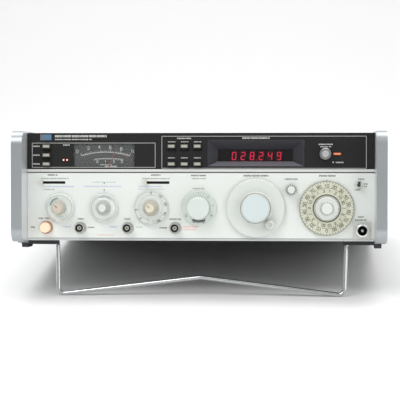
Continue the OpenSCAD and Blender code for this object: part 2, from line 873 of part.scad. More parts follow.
am_h = 22.5;
module am_inner_knob() {
    color(cream) stand() out(am_x, row_z) {
        rod(-30, am_step + 0.8, shaft_r);
        turned([[0, am_step + 0.4], [8, am_step + 0.4], [7.9, am_step + 3], [6.9, am_h - 1.6],
            [6.2, am_h - 0.5], [5.2, am_h], [0, am_h]]);
    }
}

af_step = 5;
module af_outer_knob() {
    color(pale) stand() out(af_x, row_z) {
        hollow_shaft(16);
        turned([[shaft_r + fit, dial_gap], [af_r - 0.6, dial_gap], [af_r, dial_gap + 0.8],
            [af_r - 0.8, af_step - 1], [af_r - 2, af_step - 0.2], [af_r - 4.4, af_step - 0.2],
            [9.8, af_step + 1.2], [shaft_r + fit, af_step + 1.2]]);
    }
}

af_h = 19.5;
module af_inner_knob() {
    color("#cfcdc2") stand() out(af_x, row_z) {
        rod(-30, af_step + 2, shaft_r);
        turned([[0, af_step + 1.6], [8, af_step + 1.6], [7.8, af_step + 4], [6.6, 14],
            [5.2, af_h - 1.2], [4.4, af_h], [0, af_h]]);
    }
}

fm_step = 7.5;
module fm_outer_knob() {
    color(pale) stand() out(fm_x, row_z) {
        hollow_shaft(16);
        turned([[shaft_r + fit, dial_gap], [fm_r - 0.5, dial_gap], [fm_r, dial_gap + 0.6],
            [fm_r, dial_out - 0.5], [fm_r - 0.6, dial_out], [13.4, dial_out], [12.2, fm_step],
            [shaft_r + fit, fm_step]]);
        // Pointer rib running down from the middle
        translate([-2.1, 1 - fm_r, dial_out - 0.5]) cube([4.2, fm_r - 9, 2.6]);
    }
}

fm_h = 23;
module fm_inner_knob() {
    color("#dbd9c0") stand() out(fm_x, row_z) {
        rod(-30, fm_step + 0.8, shaft_r);
        turned([[0, fm_step + 0.4], [9.2, fm_step + 0.4], [9, fm_step + 3], [7, fm_h - 3],
            [5.6, fm_h - 0.6], [4.8, fm_h], [0, fm_h]]);
    }
}

range_h = 18;
module range_knob() {
    color(mint) stand() out(range_x, row_z) difference() {
        union() {
            rod(-30, dial_gap + 0.5, shaft_r);
            turned([[0, dial_gap], [range_r - 0.5, dial_gap], [range_r, dial_gap + 0.6],
                [range_r, dial_out - 0.5], [range_r - 0.6, dial_out], [13.6, dial_out],
                [13.4, dial_out + 3], [13, range_h - 1.4], [12, range_h - 0.3],
                [11.2, range_h], [0, range_h]]);
        }
        // Sight window in the dial under the knob
        rotate([0, 0, -90 - 29]) rotate_extrude(angle = 58)
            translate([14, dial_gap - cut]) square([3, dial_t + 2*cut]);
    }
}

tune_step = 6.5;
tune_h = 20;
spin_seat = 4;
spin_at = [spin_reach*cos(spin_angle), -spin_reach*sin(spin_angle)];
screw_reach = cavity_y + cavity_l - 12;
module tuning_knob() {
    color(pale) stand() out(tune_x, row_z) difference() {
        union() {
            rod(-screw_reach, dial_gap + 0.5, shaft_r);
            turned([[0, dial_gap], [tune_r - 0.8, dial_gap], [tune_r, dial_gap + 0.9],
                [tune_r - 0.3, tune_step - 1.2], [tune_r - 1.4, tune_step],
                [19, tune_step], [17.6, tune_step + 1.2], [17.2, tune_h - 2],
                [16.2, tune_h - 0.4], [15.2, tune_h], [0, tune_h]]);
        }
        translate([spin_at[0], spin_at[1], tune_step - spin_seat]) cylinder(h = 6, r = 2.2 + fit);
    }
}

spin_h = 15.5;
module tuning_spinner() {
    color("#d6d8c8") stand() out(tune_x, row_z) translate([spin_at[0], spin_at[1], 0]) {
        rod(tune_step - spin_seat + 0.3, tune_step + 1, 2.2);
        turned([[0, tune_step + 0.3], [spin_r - 1.2, tune_step + 0.3], [spin_r, tune_step + 1.6],
            [spin_r - 0.5, spin_h - 4], [spin_r - 1.6, spin_h - 1.4], [spin_r - 3.2, spin_h],
            [2, spin_h - 0.7], [0, spin_h - 1]]);
    }
}

module fine_tune_knob() {
    color(pale) stand() out(fine_x, fine_z) {
        rod(-22, 1.2, shaft_r);
        turned([[0, 1], [6.6, 1], [6.4, 5], [5.2, 12.6], [4.4, 13.8], [3.6, 14], [0, 14]]);
    }
}

output_step = 8;
module output_dial() {
    color([0.83, 0.83, 0.72]) stand() out(output_x, row_z) {
        hollow_shaft(16);
        turned([[shaft_r + fit, dial_gap], [output_r - 0.4, dial_gap], [output_r, dial_gap + 0.5],
            [output_r, dial_out - 0.5], [output_r - 0.5, dial_out], [17.8, dial_out],
            [17.4, dial_out + 0.6], [17, output_step - 0.6], [16.4, output_step],
            [shaft_r + fit, output_step]]);
    }
}

output_h = 30;
module output_knob() {
    color(pale) stand() out(output_x, row_z) {
        rod(-30, output_step + 0.8, shaft_r);
        turned([[0, output_step + 0.4], [13.6, output_step + 0.4], [13.6, output_step + 2],
            [13, 18.6], [12, 20], [8.6, 20.2], [8, 21], [7.2, output_h - 1.6],
            [6.2, output_h - 0.3], [5.6, output_h], [0, output_h]]);
    }
}

// ---------- line switch, connectors and output switch ----------

module line_button() {
    color("#fbe3c6") stand() out(line_x, line_z)
        turned([[0, -14], [line_r, -14], [line_r, line_out - 0.9], [line_r - 0.7, line_out],
            [0, line_out]]);
}

// A bayonet jack: hex nut, barrel with two lugs, insulator and centre socket
lug_out = 3.4;
module bnc(barrel) {
    difference() {
        union() {
            rod(-10, barrel, bnc_r);
            rod(0, 2.4, 6.85);
            translate([0, 0, barrel - lug_out]) rotate([0, 90, 0])
                cylinder(h = 11.1, r = 0.98, center = true, $fn = 24);
        }
        rod(barrel - 9, barrel + cut, 4.1);
    }
    difference() {
        rod(barrel - 9 - cut, barrel - 1.5, 2.4);
        rod(barrel - 5, barrel, 0.8);
    }
}

n_l = 12;
n_flange = 20;
module output_jack() {
    difference() {
        union() {
            rod(-16, n_l, n_r);
            translate([-n_flange/2, -n_flange/2, 0]) cube([n_flange, n_flange, 1.6]);
        }
        rod(n_l - 9, n_l + cut, 4.9);
    }
    rod(n_l - 9 - cut, n_l - 3, 1.6);
}

module coaxial_jacks() {
    color("#b3b1aa") stand() {
        for (i = [0 : 2]) {
            out(bnc_x + i*bnc_step, bnc_z) bnc(bnc_l);
            translate([rear_bnc_x + i*rear_bnc_step, body_back, rear_bnc_z])
                rotate([-90, 0, 0]) bnc(bnc_l);
        }
        out(n_x, n_z) output_jack();
    }
}

lever_pin_r = 0.6;                        // crosswise pin the lever tips about
ball_in = 4.4;                            // lever's ball in front of the panel
ball_r = 1.9;
module rf_switch() {
    color(steel) stand() out(rf_x, rf_z) {
        difference() {
            union() {
                rod(-6, 5.6, 3.1);
                cylinder(h = 1.8, r = 5.4, $fn = 6);
                translate([-6.4, -4, -18]) cube([12.8, 8, 12.2]);
            }
            translate([0, 0, ball_in]) {
                sphere(ball_r + 0.3);
                rotate([0, 90, 0]) cylinder(h = 8, r = lever_pin_r + fit, center = true);
            }
            translate([0, 0, ball_in]) cylinder(h = 1.3, r1 = 1.5, r2 = 2.3);
        }
    }
}

lever_l = 11.5;
module rf_lever() {
    color(black) stand() out(rf_x, rf_z) translate([0, 0, ball_in]) {
        sphere(ball_r);
        rotate([0, 90, 0]) cylinder(h = 5.8, r = lever_pin_r, center = true);
        rotate([-rf_throw, 0, 0]) {
            cylinder(h = lever_l, r1 = 0.9, r2 = 1.6);
            translate([0, 0, lever_l]) sphere(1.6);
        }
    }
}

// ---------- behind the panel ----------

module pot(x, z, bore, r, depth) {
    out(x, z) difference() {
        rod(-behind - depth, -behind, r);
        rod(-behind - depth - cut, -behind + cut, bore + fit);
    }
}

guide_t = 1.5;
bank_in = 15;                             // front of the switch banks behind the panel
bank_back = 34;
module control_bodies() {
    color("#33302e") stand() {
        for (x = [am_x, af_x, fm_x]) {
            pot(x, row_z, tube_r, 12, 13);
            pot_end(x, 12);
        }
        pot(output_x, row_z, tube_r, 15, 13);
        pot_end(output_x, 15);
        pot(range_x, row_z, shaft_r, 16, 28);
        pot(tune_x, row_z, shaft_r, bush_r, bush_l);
        pot(fine_x, fine_z, shaft_r, 9, 20);
        pot(base_x, base_z, 2, 8, 11);
        // Guides that the buttons slide in, and the switch banks behind them
        difference() {
            union() {
                button_guide(meter_button_x - 10, meter_button_x + 7.6);
                button_guide(counter_x - 8, counter_button_x(3) + 7.6);
            }
            slab(-behind - guide_t - cut, cut - behind) {
                for (i = [1 : 3]) guide_hole(meter_button_x, meter_button_z(i));
                for (i = [1 : 6]) guide_hole(counter_button_x(i), counter_button_z(i));
            }
        }
        slab(-bank_back, -bank_in) {
            rect(meter_button_x - 9, meter_button_x + 7, 20, 53);
            rect(counter_x - 7, counter_button_x(3) + 7, 20, 53);
        }
        // Slide switch bodies
        for (x = [am_slot_x, fm_slot_x]) difference() {
            slab(-18, -behind) rect(x - 5, x + slot_l + 5, slot_z - 6, slot_z + 6);
            slab(-12, cut - behind)
                rect(x - 0.5, x + slot_l + 0.5, slot_z - slot_h/2, slot_z + slot_h/2);
        }
        // Line switch with its bezel
        out(line_x, line_z) difference() {
            union() {
                rod(-30, -behind, 10);
                rod(-behind - cut, 1, line_r + 1.1);
                rod(0, 1.6, line_r + 1.6);
            }
            rod(-19, 2, line_r + 0.3);
        }
    }
}

module pot_end(x, r) {
    out(x, row_z) difference() {
        rod(-32, -18.5, r);
        rod(-32 - cut, -18.5 + cut, shaft_r + fit);
    }
}

module button_guide(x0, x1) {
    slab(-behind - guide_t, -behind) rect(x0, x1, upper_z - 2, half_h - 6);
}

module guide_hole(x, z) {
    rect(x - cap_w/2 - guide_gap, x + cap_w/2 + guide_gap,
        z - cap_h/2 - guide_gap, z + cap_h/2 + guide_gap);
}

// Mother board with plug-in boards standing on it
module circuit_boards() {
    color("#3c6b48") stand() {
        box(-190, -16, 60, 300, -52, -50.4);
        for (i = [0 : board_count - 1])
            box(-182, -24, 72 + i*36, 73.6 + i*36, -50.4, 10 + 6*(i % 2));
        box(-60, 190, 214, 216, -52, 48);
    }
}

// The machined block that houses the tuned cavity
module cavity_block() {
    color("#a8a48f") stand() difference() {
        box(tune_x - 40, tune_x + 30, cavity_y, cavity_y + cavity_l, row_z - 28, row_z + 30);
        out(tune_x, row_z) {
            rod(-cavity_y - cavity_l + 8, -cavity_y - 8, cavity_r);
            rod(-cavity_y - 9, -cavity_y + cut, shaft_r + fit);
        }
    }
}

module tuning_plunger() {
    color("#c9a24a") stand() out(tune_x, row_z) difference() {
        rod(-plunger_y - plunger_l, -plunger_y, plunger_r);
        rod(-plunger_y - plunger_l - cut, cut - plunger_y, shaft_r + 0.3);
    }
}

module attenuator() {
    color("#c5c7c6") stand() {
        box(output_x - 24, output_x + 24, 44, 150, row_z - 20, row_z + 20);
        box(n_x - 8, n_x + 8, 18, 40, n_z - 8, n_z + 8);
    }
}

module transformer() {
    color("#5a5048") stand() {
        difference() {
            box(-186, -96, 322, 392, -50, 22);
            box(-174, -108, 321, 340, -36, 8);
            box(-174, -108, 374, 393, -36, 8);
        }
        box(-80, 20, 340, 400, -50, -8);
    }
}

module fan_housing() {
    color("#26282a") stand() translate([fan_x, rear_in, 0]) rotate([90, 0, 0]) {
        difference() {
            translate([-46, -46, 0]) cube([92, 92, fan_d]);
            rod(-cut, fan_d + cut, fan_r);
            for (x = [-38, 38], y = [-38, 38])
                translate([x, y, -cut]) cylinder(h = 12, r = screw_r + 0.1);
        }
        // Three spokes carry the motor and its bearing
        difference() {
            union() {
                rod(fan_d - 5, fan_d, 15);
                for (a = [30, 150, 270]) rotate([0, 0, a])
                    translate([10, -2, fan_d - 3]) cube([fan_r - 9, 4, 3]);
            }
            rod(fan_d - 5 - cut, fan_d - 1, 1.5 + fit);
        }
        // Finger guard rings
        for (r = [12, 22, 32]) rotate_extrude() translate([r, 1.2]) circle(0.8, $fn = 16);
        for (a = [45, 135]) rotate([0, 0, a]) translate([0, 0, 2.2]) rotate([0, 90, 0])
            cylinder(h = 2*fan_r + 0.4, r = 0.8, center = true, $fn = 16);
    }
}

blade_count = 7;
module fan_rotor() {
    color("#1d1f21") stand() translate([fan_x, rear_in, 0]) rotate([90, 0, 0]) {
        rod(4.5, fan_d - 5.6, 14);
        rod(fan_d - 6, fan_d - 1.6, 1.5);
        for (i = [0 : blade_count - 1]) rotate([0, 0, i*360/blade_count])
            translate([12, 0, 5 + (fan_d - 11)/2]) rotate([32, 0, 0])
                translate([0, -0.7, 1.4 - (fan_d - 11)/2]) cube([fan_r - 14.5, 1.4, fan_d - 13.8]);
    }
}

// Recessed mains inlet with three blades
inlet_d = 20;
module ac_inlet() {
    color(black) stand() translate([inlet_x, body_back, inlet_z]) rotate([-90, 0, 0]) {
        difference() {
            union() {
                translate([-inlet_w/2, -inlet_h/2, -inlet_d]) cube([inlet_w, inlet_h, inlet_d + 1]);
                translate([-inlet_w/2 - 3, -inlet_h/2 - 3, 0]) cube([inlet_w + 6, inlet_h + 6, 2]);
            }
            translate([-12, -7.75, -16]) cube([24, 15.5, 20]);
        }
        for (p = [[-7, 2], [7, 2], [0, -2]])
            translate([p[0] - 1, p[1] - 2, -16 - cut]) cube([2, 4, 10]);
    }
}

handle_left();
handle_right();
side_frame_left();
side_frame_right();
side_covers();
top_cover();
bottom_cover();
rear_panel();
front_frame();
upper_panel();
lower_panel();
trim_strip();
feet();
tilt_bail();
cover_screws();
meter_case();
meter_scale();
meter_window();
meter_needle();
meter_button_1();
meter_button_2();
meter_button_3();
counter_button_1();
counter_button_2();
counter_button_3();
counter_button_4();
counter_button_5();
counter_button_6();
display_bezel();
display_window();
display_board();
indicator_lamps();
time_base_knob();
am_slider();
fm_slider();
am_outer_knob();
am_inner_knob();
af_outer_knob();
af_inner_knob();
fm_outer_knob();
fm_inner_knob();
range_knob();
tuning_knob();
tuning_spinner();
fine_tune_knob();
output_dial();
output_knob();
line_button();
coaxial_jacks();
rf_switch();
rf_lever();
control_bodies();
circuit_boards();
cavity_block();
tuning_plunger();
attenuator();
transformer();
fan_housing();
fan_rotor();
ac_inlet();
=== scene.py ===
import json
import math

import bmesh
import bpy
from mathutils import Matrix, Vector


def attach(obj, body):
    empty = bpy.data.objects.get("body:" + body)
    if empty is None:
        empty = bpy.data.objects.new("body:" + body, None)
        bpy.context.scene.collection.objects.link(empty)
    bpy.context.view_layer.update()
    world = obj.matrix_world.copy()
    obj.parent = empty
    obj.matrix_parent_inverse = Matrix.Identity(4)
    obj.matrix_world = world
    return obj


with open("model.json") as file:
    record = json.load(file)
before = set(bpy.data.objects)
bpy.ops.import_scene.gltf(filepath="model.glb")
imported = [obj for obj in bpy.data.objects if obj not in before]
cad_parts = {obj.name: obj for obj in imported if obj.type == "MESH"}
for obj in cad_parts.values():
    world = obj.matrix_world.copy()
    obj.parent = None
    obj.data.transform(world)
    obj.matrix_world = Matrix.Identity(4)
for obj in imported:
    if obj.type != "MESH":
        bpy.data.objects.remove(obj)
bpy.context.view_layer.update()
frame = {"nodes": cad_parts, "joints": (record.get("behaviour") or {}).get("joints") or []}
NODES = frame["nodes"]
JOINTS = {j["name"]: j for j in frame["joints"]}

# ---------- the panel's own frame: X right, Y up the panel, Z out of it, in mm ----------

ROW_Z = -24.3  # height of the main row of knobs on the panel
INWARD = Vector(JOINTS["range_turn"]["axis"]).normalized()
UP = Vector((0, -INWARD.z, INWARD.y))
MIDDLE = Vector(JOINTS["range_turn"]["pos_m"]) - UP * ROW_Z / 1000
MIDDLE.x = 0
PANEL = Matrix.Translation(MIDDLE) @ Matrix(((1, 0, 0), UP, -INWARD)).transposed().to_4x4()


def spot(joint):
    """Where a turning joint's axis meets the panel, as (x, z) in mm."""
    p = PANEL.inverted() @ Vector(JOINTS[joint]["pos_m"])
    return p.x * 1000, p.y * 1000


def extent(node, k):
    """Least and greatest of a node's x (0), z (1) or height out of the panel (2), in mm."""
    values = [(PANEL.inverted() @ v.co)[k] * 1000 for v in NODES[node].data.vertices]
    return min(values), max(values)


def middle(node):
    """The middle of a node as seen from the front, as (x, z) in mm."""
    return sum(extent(node, 0)) / 2, sum(extent(node, 1)) / 2


def at(x, z, out):
    """A point of the panel's frame in the shared frame."""
    return PANEL @ (Vector((x, z, out)) / 1000)


# ---------- materials ----------

BEZEL_RISE = 1.78  # how steeply the display bezel's lower slope leans back; faces leaning that way get a painted highlight


def lin(*rgb):
    """Display values 0 to 255 to an opaque linear colour."""
    shares = [v / 255 for v in rgb]
    return [v / 12.92 if v <= 0.04045 else ((v + 0.055) / 1.055) ** 2.4 for v in shares] + [1]


def material(name, rgb, rough=0.5, metal=0.0, grain=900.0, bump=0.05, vary=0.06, stretch=(1, 1, 1),
             wear=0.0, glow=None, glow_power=0.0, alpha=1.0, coat=0.0, spec=0.5, painted_light_facing=None):
    """A procedural finish: mottled colour, uneven gloss, fine bump, and lighter worn edges.

    painted_light_facing is (direction, colour): faces turned that way take that colour as painted light,
    such as a highlight on a handle's inner side or on the bezel's lower slope."""
    m = bpy.data.materials.new(name)
    m.use_nodes = True
    nt = m.node_tree
    b = nt.nodes["Principled BSDF"]
    b.inputs["Metallic"].default_value = metal
    b.inputs["Coat Weight"].default_value = coat
    b.inputs["Coat Roughness"].default_value = 0.12
    b.inputs["Specular IOR Level"].default_value = spec
    b.inputs["Alpha"].default_value = alpha
    new, link = nt.nodes.new, nt.links.new
    coord = new("ShaderNodeTexCoord")
    mapping = new("ShaderNodeMapping")
    mapping.inputs["Scale"].default_value = stretch
    link(coord.outputs["Object"], mapping.inputs["Vector"])

    def noise(scale, detail):
        n = new("ShaderNodeTexNoise")
        n.inputs["Scale"].default_value = scale
        n.inputs["Detail"].default_value = detail
        link(mapping.outputs["Vector"], n.inputs["Vector"])
        return n.outputs["Fac"]

    def spread(value, low, high, least=0.0, most=1.0):
        """Maps low to high onto least to most."""
        n = new("ShaderNodeMapRange")
        n.inputs["From Min"].default_value = low
        n.inputs["From Max"].default_value = high
        n.inputs["To Min"].default_value = least
        n.inputs["To Max"].default_value = most
        link(value, n.inputs["Value"])
        return n.outputs["Result"]

    def lay_over(under, amount, rgba):
        """Lays a plain colour over another where amount is high."""
        n = new("ShaderNodeMix")
        n.data_type = "RGBA"
        n.inputs["B"].default_value = rgba
        link(amount, n.inputs["Factor"])
        link(under, n.inputs["A"])
        return n.outputs["Result"]

    # Colour: half fine grain and half broad cloud, between a darker and a lighter tone
    fine, broad = noise(grain, 4), noise(14, 3)
    half = new("ShaderNodeMath")
    half.operation = "MULTIPLY"
    half.inputs[1].default_value = 0.5
    link(fine, half.inputs[0])
    blend = new("ShaderNodeMath")
    blend.operation = "MULTIPLY_ADD"
    blend.inputs[1].default_value = 0.5
    link(broad, blend.inputs[0])
    link(half.outputs[0], blend.inputs[2])
    base = lin(*rgb)[:3]
    ramp = new("ShaderNodeValToRGB")
    darker, lighter = ramp.color_ramp.elements
    darker.position, lighter.position = 0.3, 0.7
    darker.color = [c * (1 - vary) for c in base] + [1]
    lighter.color = [min(1, c * (1 + vary)) for c in base] + [1]
    link(blend.outputs[0], ramp.inputs["Fac"])
    colour = ramp.outputs["Color"]
    if wear:
        pointed = new("ShaderNodeNewGeometry").outputs["Pointiness"]
        worn = [min(1, c * 1.7 + 0.08) for c in base] + [1]
        colour = lay_over(colour, spread(pointed, 0.52, 0.62, most=wear), worn)
    # Painted light: faces turned towards the given direction take the given lighter colour
    if painted_light_facing:
        along = new("ShaderNodeVectorMath")
        along.operation = "DOT_PRODUCT"
        along.inputs[1].default_value = Vector(painted_light_facing[0]).normalized()
        link(new("ShaderNodeNewGeometry").outputs["True Normal"], along.inputs[0])
        colour = lay_over(colour, spread(along.outputs["Value"], 0.9, 0.97), lin(*painted_light_facing[1]))
    link(colour, b.inputs["Base Color"])

    gloss = spread(broad, 0, 1, max(0.02, rough - 0.08), min(1, rough + 0.08))
    link(gloss, b.inputs["Roughness"])
    if bump:
        relief = new("ShaderNodeBump")
        relief.inputs["Strength"].default_value = bump
        relief.inputs["Distance"].default_value = 0.0004
        link(fine, relief.inputs["Height"])
        link(relief.outputs["Normal"], b.inputs["Normal"])
    if glow:
        b.inputs["Emission Color"].default_value = lin(*glow)
        b.inputs["Emission Strength"].default_value = glow_power
    return m


def casting(name, inner=None):
    """Cast alloy of the frames; inner is the direction of a handle's inner side, which takes a lighter
    colour as a painted highlight.
    """
    painted_light_facing = (inner, (226, 229, 231)) if inner else None
    return material(name, (146, 151, 154), 0.34, 0.6, 520, 0.10, 0.05, wear=0.3, painted_light_facing=painted_light_facing)


def ink(name, rgb, vary=0.05):
    return material(name, rgb, 0.6, 0, 1500, 0.02, vary)


M = {
    "cast": casting("cast_frame"),
    # The handles' inner sides get a painted highlight: a lighter colour standing in for the light falling
    # on them
    "cast_left_painted_highlight": casting("cast_handle_left_painted_highlight", (1, 0, 0)),
    "cast_right_painted_highlight": casting("cast_handle_right_painted_highlight", (-1, 0, 0)),
    "plate": material("cast_plate", (204, 208, 208), 0.38, 0.3, 600, 0.05, 0.04),
    "trim": material("bright_trim", (214, 216, 213), 0.4, 0.1, 260, 0.04, 0.03, (0.02, 1, 1)),
    "cover": material("cover_paint", (178, 183, 178), 0.55, 0, 1400, 0.35, 0.05),
    # Bottom cover: darker than the top cover, as painted shade on the underside
    "under": material("underside_painted_shade", (78, 81, 80), 0.7, 0, 1400, 0.3, 0.06),
    "side": material("side_vinyl", (112, 120, 124), 0.62, 0, 1100, 0.6, 0.08),
    "rear": material("rear_sheet", (176, 178, 174), 0.42, 0.5, 300, 0.06, 0.07, (0.1, 1, 1)),
    "dark": material("panel_dark", (29, 29, 29), 0.6, 0, 1500, 0.14, 0.07, spec=0.25),
    "pale": material("panel_pale", (226, 230, 226), 0.42, 0, 1500, 0.06, 0.015),
    "rubber": material("moulded_feet", (34, 35, 38), 0.55, 0, 800, 0.2, 0.12),
    "wire": material("bail_wire", (196, 198, 200), 0.22, 1, 200, 0.03, 0.05, (1, 1, 0.1)),
    "screw": material("screw_plated", (168, 170, 172), 0.3, 1, 700, 0.06, 0.08),
    "meter": material("meter_case", (26, 26, 27), 0.45, 0, 900, 0.1, 0.1),
    "scale": material("meter_plate", (25, 26, 25), 0.7, 0, 1600, 0.05, 0.04, spec=0.3),
    "clear": material("meter_window", (210, 216, 216), 0.04, 0, 40, 0, 0.02, alpha=0.07, coat=0.6),
    "needle": material("needle_paint", (132, 40, 38), 0.5, 0, 900, 0.05, 0.08),
    "button": material("button_cap", (74, 73, 66), 0.42, 0, 900, 0.06, 0.05),
    # The bezel's lower slope gets a painted highlight: a lighter colour for the light falling on it
    "bezel": material("bezel_plastic", (44, 45, 50), 0.42, 0, 1100, 0.10, 0.08,
                      painted_light_facing=(UP * BEZEL_RISE - INWARD, (112, 112, 118))),
    "filter": material("red_filter", (18, 10, 15), 0.12, 0, 60, 0, 0.05, alpha=0.5, coat=0.2),
    "module": material("digit_module", (20, 12, 17), 0.6, 0, 600, 0.05, 0.1),
    "lamp": material("lamp_lens", (112, 40, 32), 0.35, 0, 500, 0.05, 0.06,
                     glow=(255, 60, 40), glow_power=0.08),
    "lamp_hot": material("lamp_spark", (240, 206, 198), 0.4, 0, 500, 0.02, 0.04,
                         glow=(255, 214, 204), glow_power=0.5),
    "lamp_bar": material("bar_lamp_lens", (214, 130, 92), 0.35, 0, 500, 0.04, 0.08,
                         glow=(255, 140, 90), glow_power=0.25),
    "metal_knob": material("metal_knob", (136, 138, 138), 0.32, 0.7, 500, 0.08, 0.06, wear=0.4),
    "slider": material("slider_plastic", (206, 206, 194), 0.4, 0, 900, 0.05, 0.04),
    "mint": material("knob_mint", (210, 219, 213), 0.34, 0, 900, 0.04, 0.025, coat=0.15),
    "white": material("knob_pale", (216, 221, 216), 0.34, 0, 900, 0.04, 0.02, coat=0.15),
    "cream": material("knob_cream", (222, 220, 198), 0.34, 0, 900, 0.04, 0.03, coat=0.15),
    "dial": material("dial_cream", (212, 213, 193), 0.28, 0, 900, 0.03, 0.03, coat=0.3),
    "spinner": material("spinner_plastic", (214, 218, 210), 0.32, 0, 900, 0.04, 0.03, coat=0.2),
    "line": material("line_lens", (246, 214, 188), 0.4, 0, 400, 0.04, 0.05,
                     glow=(255, 200, 150), glow_power=0.16),
    "nickel": material("nickel", (190, 191, 187), 0.3, 0.6, 500, 0.06, 0.08, wear=0.3),
    "shell": material("bright_shell", (222, 223, 220), 0.25, 0.7, 500, 0.05, 0.05, wear=0.3),
    "flange": material("jack_flange", (206, 209, 202), 0.45, 0.1, 900, 0.05, 0.04),
    "copper": material("copper_ring", (204, 150, 124), 0.4, 0.4, 600, 0.05, 0.06),
    # Painted shade: darker copies of the knob plastics, for the shaded sides and bevels of knobs and the
    # shade round and under them
    "grip": material("knob_side_painted_shade", (140, 143, 138), 0.45, 0, 900, 0.05, 0.05),
    "grip_pale": material("knob_side_pale_painted_shade", (174, 177, 171), 0.45, 0, 900, 0.05, 0.05),
    "grip_warm": material("knob_side_warm_painted_shade", (180, 176, 162), 0.45, 0, 900, 0.05, 0.05),
    "face_beige": material("knob_face_beige", (200, 190, 176), 0.4, 0, 900, 0.03, 0.03),
    "face_cream": material("knob_face_cream", (216, 213, 188), 0.4, 0, 900, 0.03, 0.03),
    "face_blue": material("knob_face_blue", (206, 217, 217), 0.36, 0, 900, 0.03, 0.02),
    "steel_face": material("knob_disc", (190, 192, 192), 0.3, 0.5, 500, 0.06, 0.06),
    "gap": material("panel_gap", (118, 121, 118), 0.6, 0, 900, 0.05, 0.05),
    "edge": material("skirt_edge", (184, 191, 184), 0.5, 0, 900, 0.03, 0.04),
    "tint": material("mint_tint", (200, 220, 222), 0.5, 0, 900, 0.02, 0.05),
    "black_gloss": material("lever_black", (20, 20, 21), 0.25, 0, 600, 0.04, 0.1, coat=0.3),
    "control": material("control_body", (50, 46, 44), 0.6, 0, 700, 0.15, 0.12),
    "board": material("board_green", (44, 92, 58), 0.45, 0, 1200, 0.15, 0.12),
    "cavity": material("cavity_block", (158, 154, 140), 0.4, 0.9, 300, 0.08, 0.07, (0.05, 1, 1)),
    "brass": material("plunger_brass", (198, 158, 84), 0.28, 1, 400, 0.05, 0.07),
    "tin": material("attenuator_block", (188, 190, 188), 0.35, 0.9, 300, 0.06, 0.06),
    "iron": material("transformer_iron", (84, 74, 66), 0.6, 0.3, 200, 0.3, 0.15, (1, 1, 8)),
    "fan": material("fan_plastic", (36, 37, 39), 0.45, 0, 800, 0.1, 0.1),
    "rear_print": material("rear_print", (44, 46, 46), 0.6, 0, 800, 0.03, 0.05),
    "ink": ink("ink_dark", (98, 100, 97), 0.08),
    "ink_dial": ink("ink_dial", (86, 83, 70), 0.08),
    "ink_soft": ink("ink_soft", (150, 153, 149), 0.06),
    "ink_white": ink("ink_white", (206, 208, 204)),
    "ink_grey": ink("ink_grey", (176, 178, 174), 0.06),
    "ink_blue": ink("ink_blue", (176, 192, 222)),
    "ink_lilac": ink("ink_lilac", (186, 194, 222)),
    "ink_green": ink("ink_green", (172, 198, 188)),
    "ink_pink": ink("ink_pink", (236, 182, 176)),
    "badge": material("badge_blue", (66, 124, 166), 0.35, 0, 300, 0.02, 0.12, coat=0.3),
    "badge_pale": material("badge_pale", (104, 112, 122), 0.4, 0, 300, 0.02, 0.06),
    "cap": material("button_face", (168, 168, 158), 0.45, 0, 900, 0.05, 0.05),
    # Painted shade for the gaps under the buttons
    "well": material("button_well", (22, 22, 21), 0.8, 0, 800, 0.05, 0.1),
    "teflon": material("insulator", (186, 184, 174), 0.5, 0, 700, 0.04, 0.03),
    "shade": material("socket_dark", (14, 14, 13), 0.7, 0, 700, 0.04, 0.1),
    "digit": material("digit_red", (236, 60, 92), 0.5, 0, 600, 0.0, 0.03,
                      glow=(255, 44, 86), glow_power=2.6),
    "halo": material("digit_halo", (70, 8, 20), 0.6, 0, 600, 0.0, 0.1,
                     glow=(255, 12, 44), glow_power=0.1),
}

# The nine push buttons aren't listed: they all take "button"
NODE_FINISH = {
    # case
    "handle_left": "cast_left_painted_highlight", "handle_right": "cast_right_painted_highlight",
    "side_frame_left": "cast", "side_frame_right": "cast", "front_frame": "plate",
    "side_covers": "side", "top_cover": "cover", "bottom_cover": "under", "rear_panel": "rear",
    "feet": "rubber", "tilt_bail": "wire", "cover_screws": "screw",
    # upper panel
    "upper_panel": "dark", "trim_strip": "trim", "meter_case": "meter", "meter_scale": "scale",
    "meter_window": "clear", "meter_needle": "needle", "display_bezel": "bezel",
    "display_window": "filter", "display_board": "module", "indicator_lamps": "lamp",
    "time_base_knob": "metal_knob",
    # lower panel
    "lower_panel": "pale", "am_slider": "slider", "fm_slider": "slider",
    # The inner knobs are coloured as painted shade; lighter sheets give their front faces
    "am_outer_knob": "white", "am_inner_knob": "grip_warm", "af_outer_knob": "white",
    "af_inner_knob": "grip_pale", "fm_outer_knob": "white", "fm_inner_knob": "grip_warm",
    "range_knob": "mint", "tuning_knob": "white", "tuning_spinner": "spinner",
    "fine_tune_knob": "white", "output_dial": "dial", "output_knob": "white",
    "line_button": "line", "coaxial_jacks": "nickel", "rf_switch": "flange",
    "rf_lever": "black_gloss",
    # inside and back
    "control_bodies": "control", "circuit_boards": "board", "cavity_block": "cavity",
    "tuning_plunger": "brass", "attenuator": "tin", "transformer": "iron",
    "fan_housing": "fan", "fan_rotor": "fan", "ac_inlet": "rubber",
}
# Width of the rounded edge each node gets, in mm
EDGE = {
    "handle_left": 0.8, "handle_right": 0.8, "side_frame_left": 0.8, "side_frame_right": 0.8,
    "feet": 0.5, "top_cover": 0.4, "bottom_cover": 0.4, "ac_inlet": 0.4, "fan_housing": 0.4,
    "trim_strip": 0.3, "display_bezel": 0.25,
}
BUTTON_EDGE = 0.35

for name, obj in NODES.items():
    finish = "button" if "_button_" in name and name != "line_button" else NODE_FINISH[name]
    if not obj.material_slots:
        obj.data.materials.append(M[finish])
    for slot in obj.material_slots:
        slot.material = M[finish]
    width = EDGE.get(name, BUTTON_EDGE if finish == "button" else 0)
    if width:
        bevel = obj.modifiers.new("soft_edge", "BEVEL")
        bevel.width = width / 1000
        bevel.segments = 3
        bevel.limit_method = "ANGLE"
        bevel.angle_limit = math.radians(40)


# ---------- building pieces in the panel's frame ----------

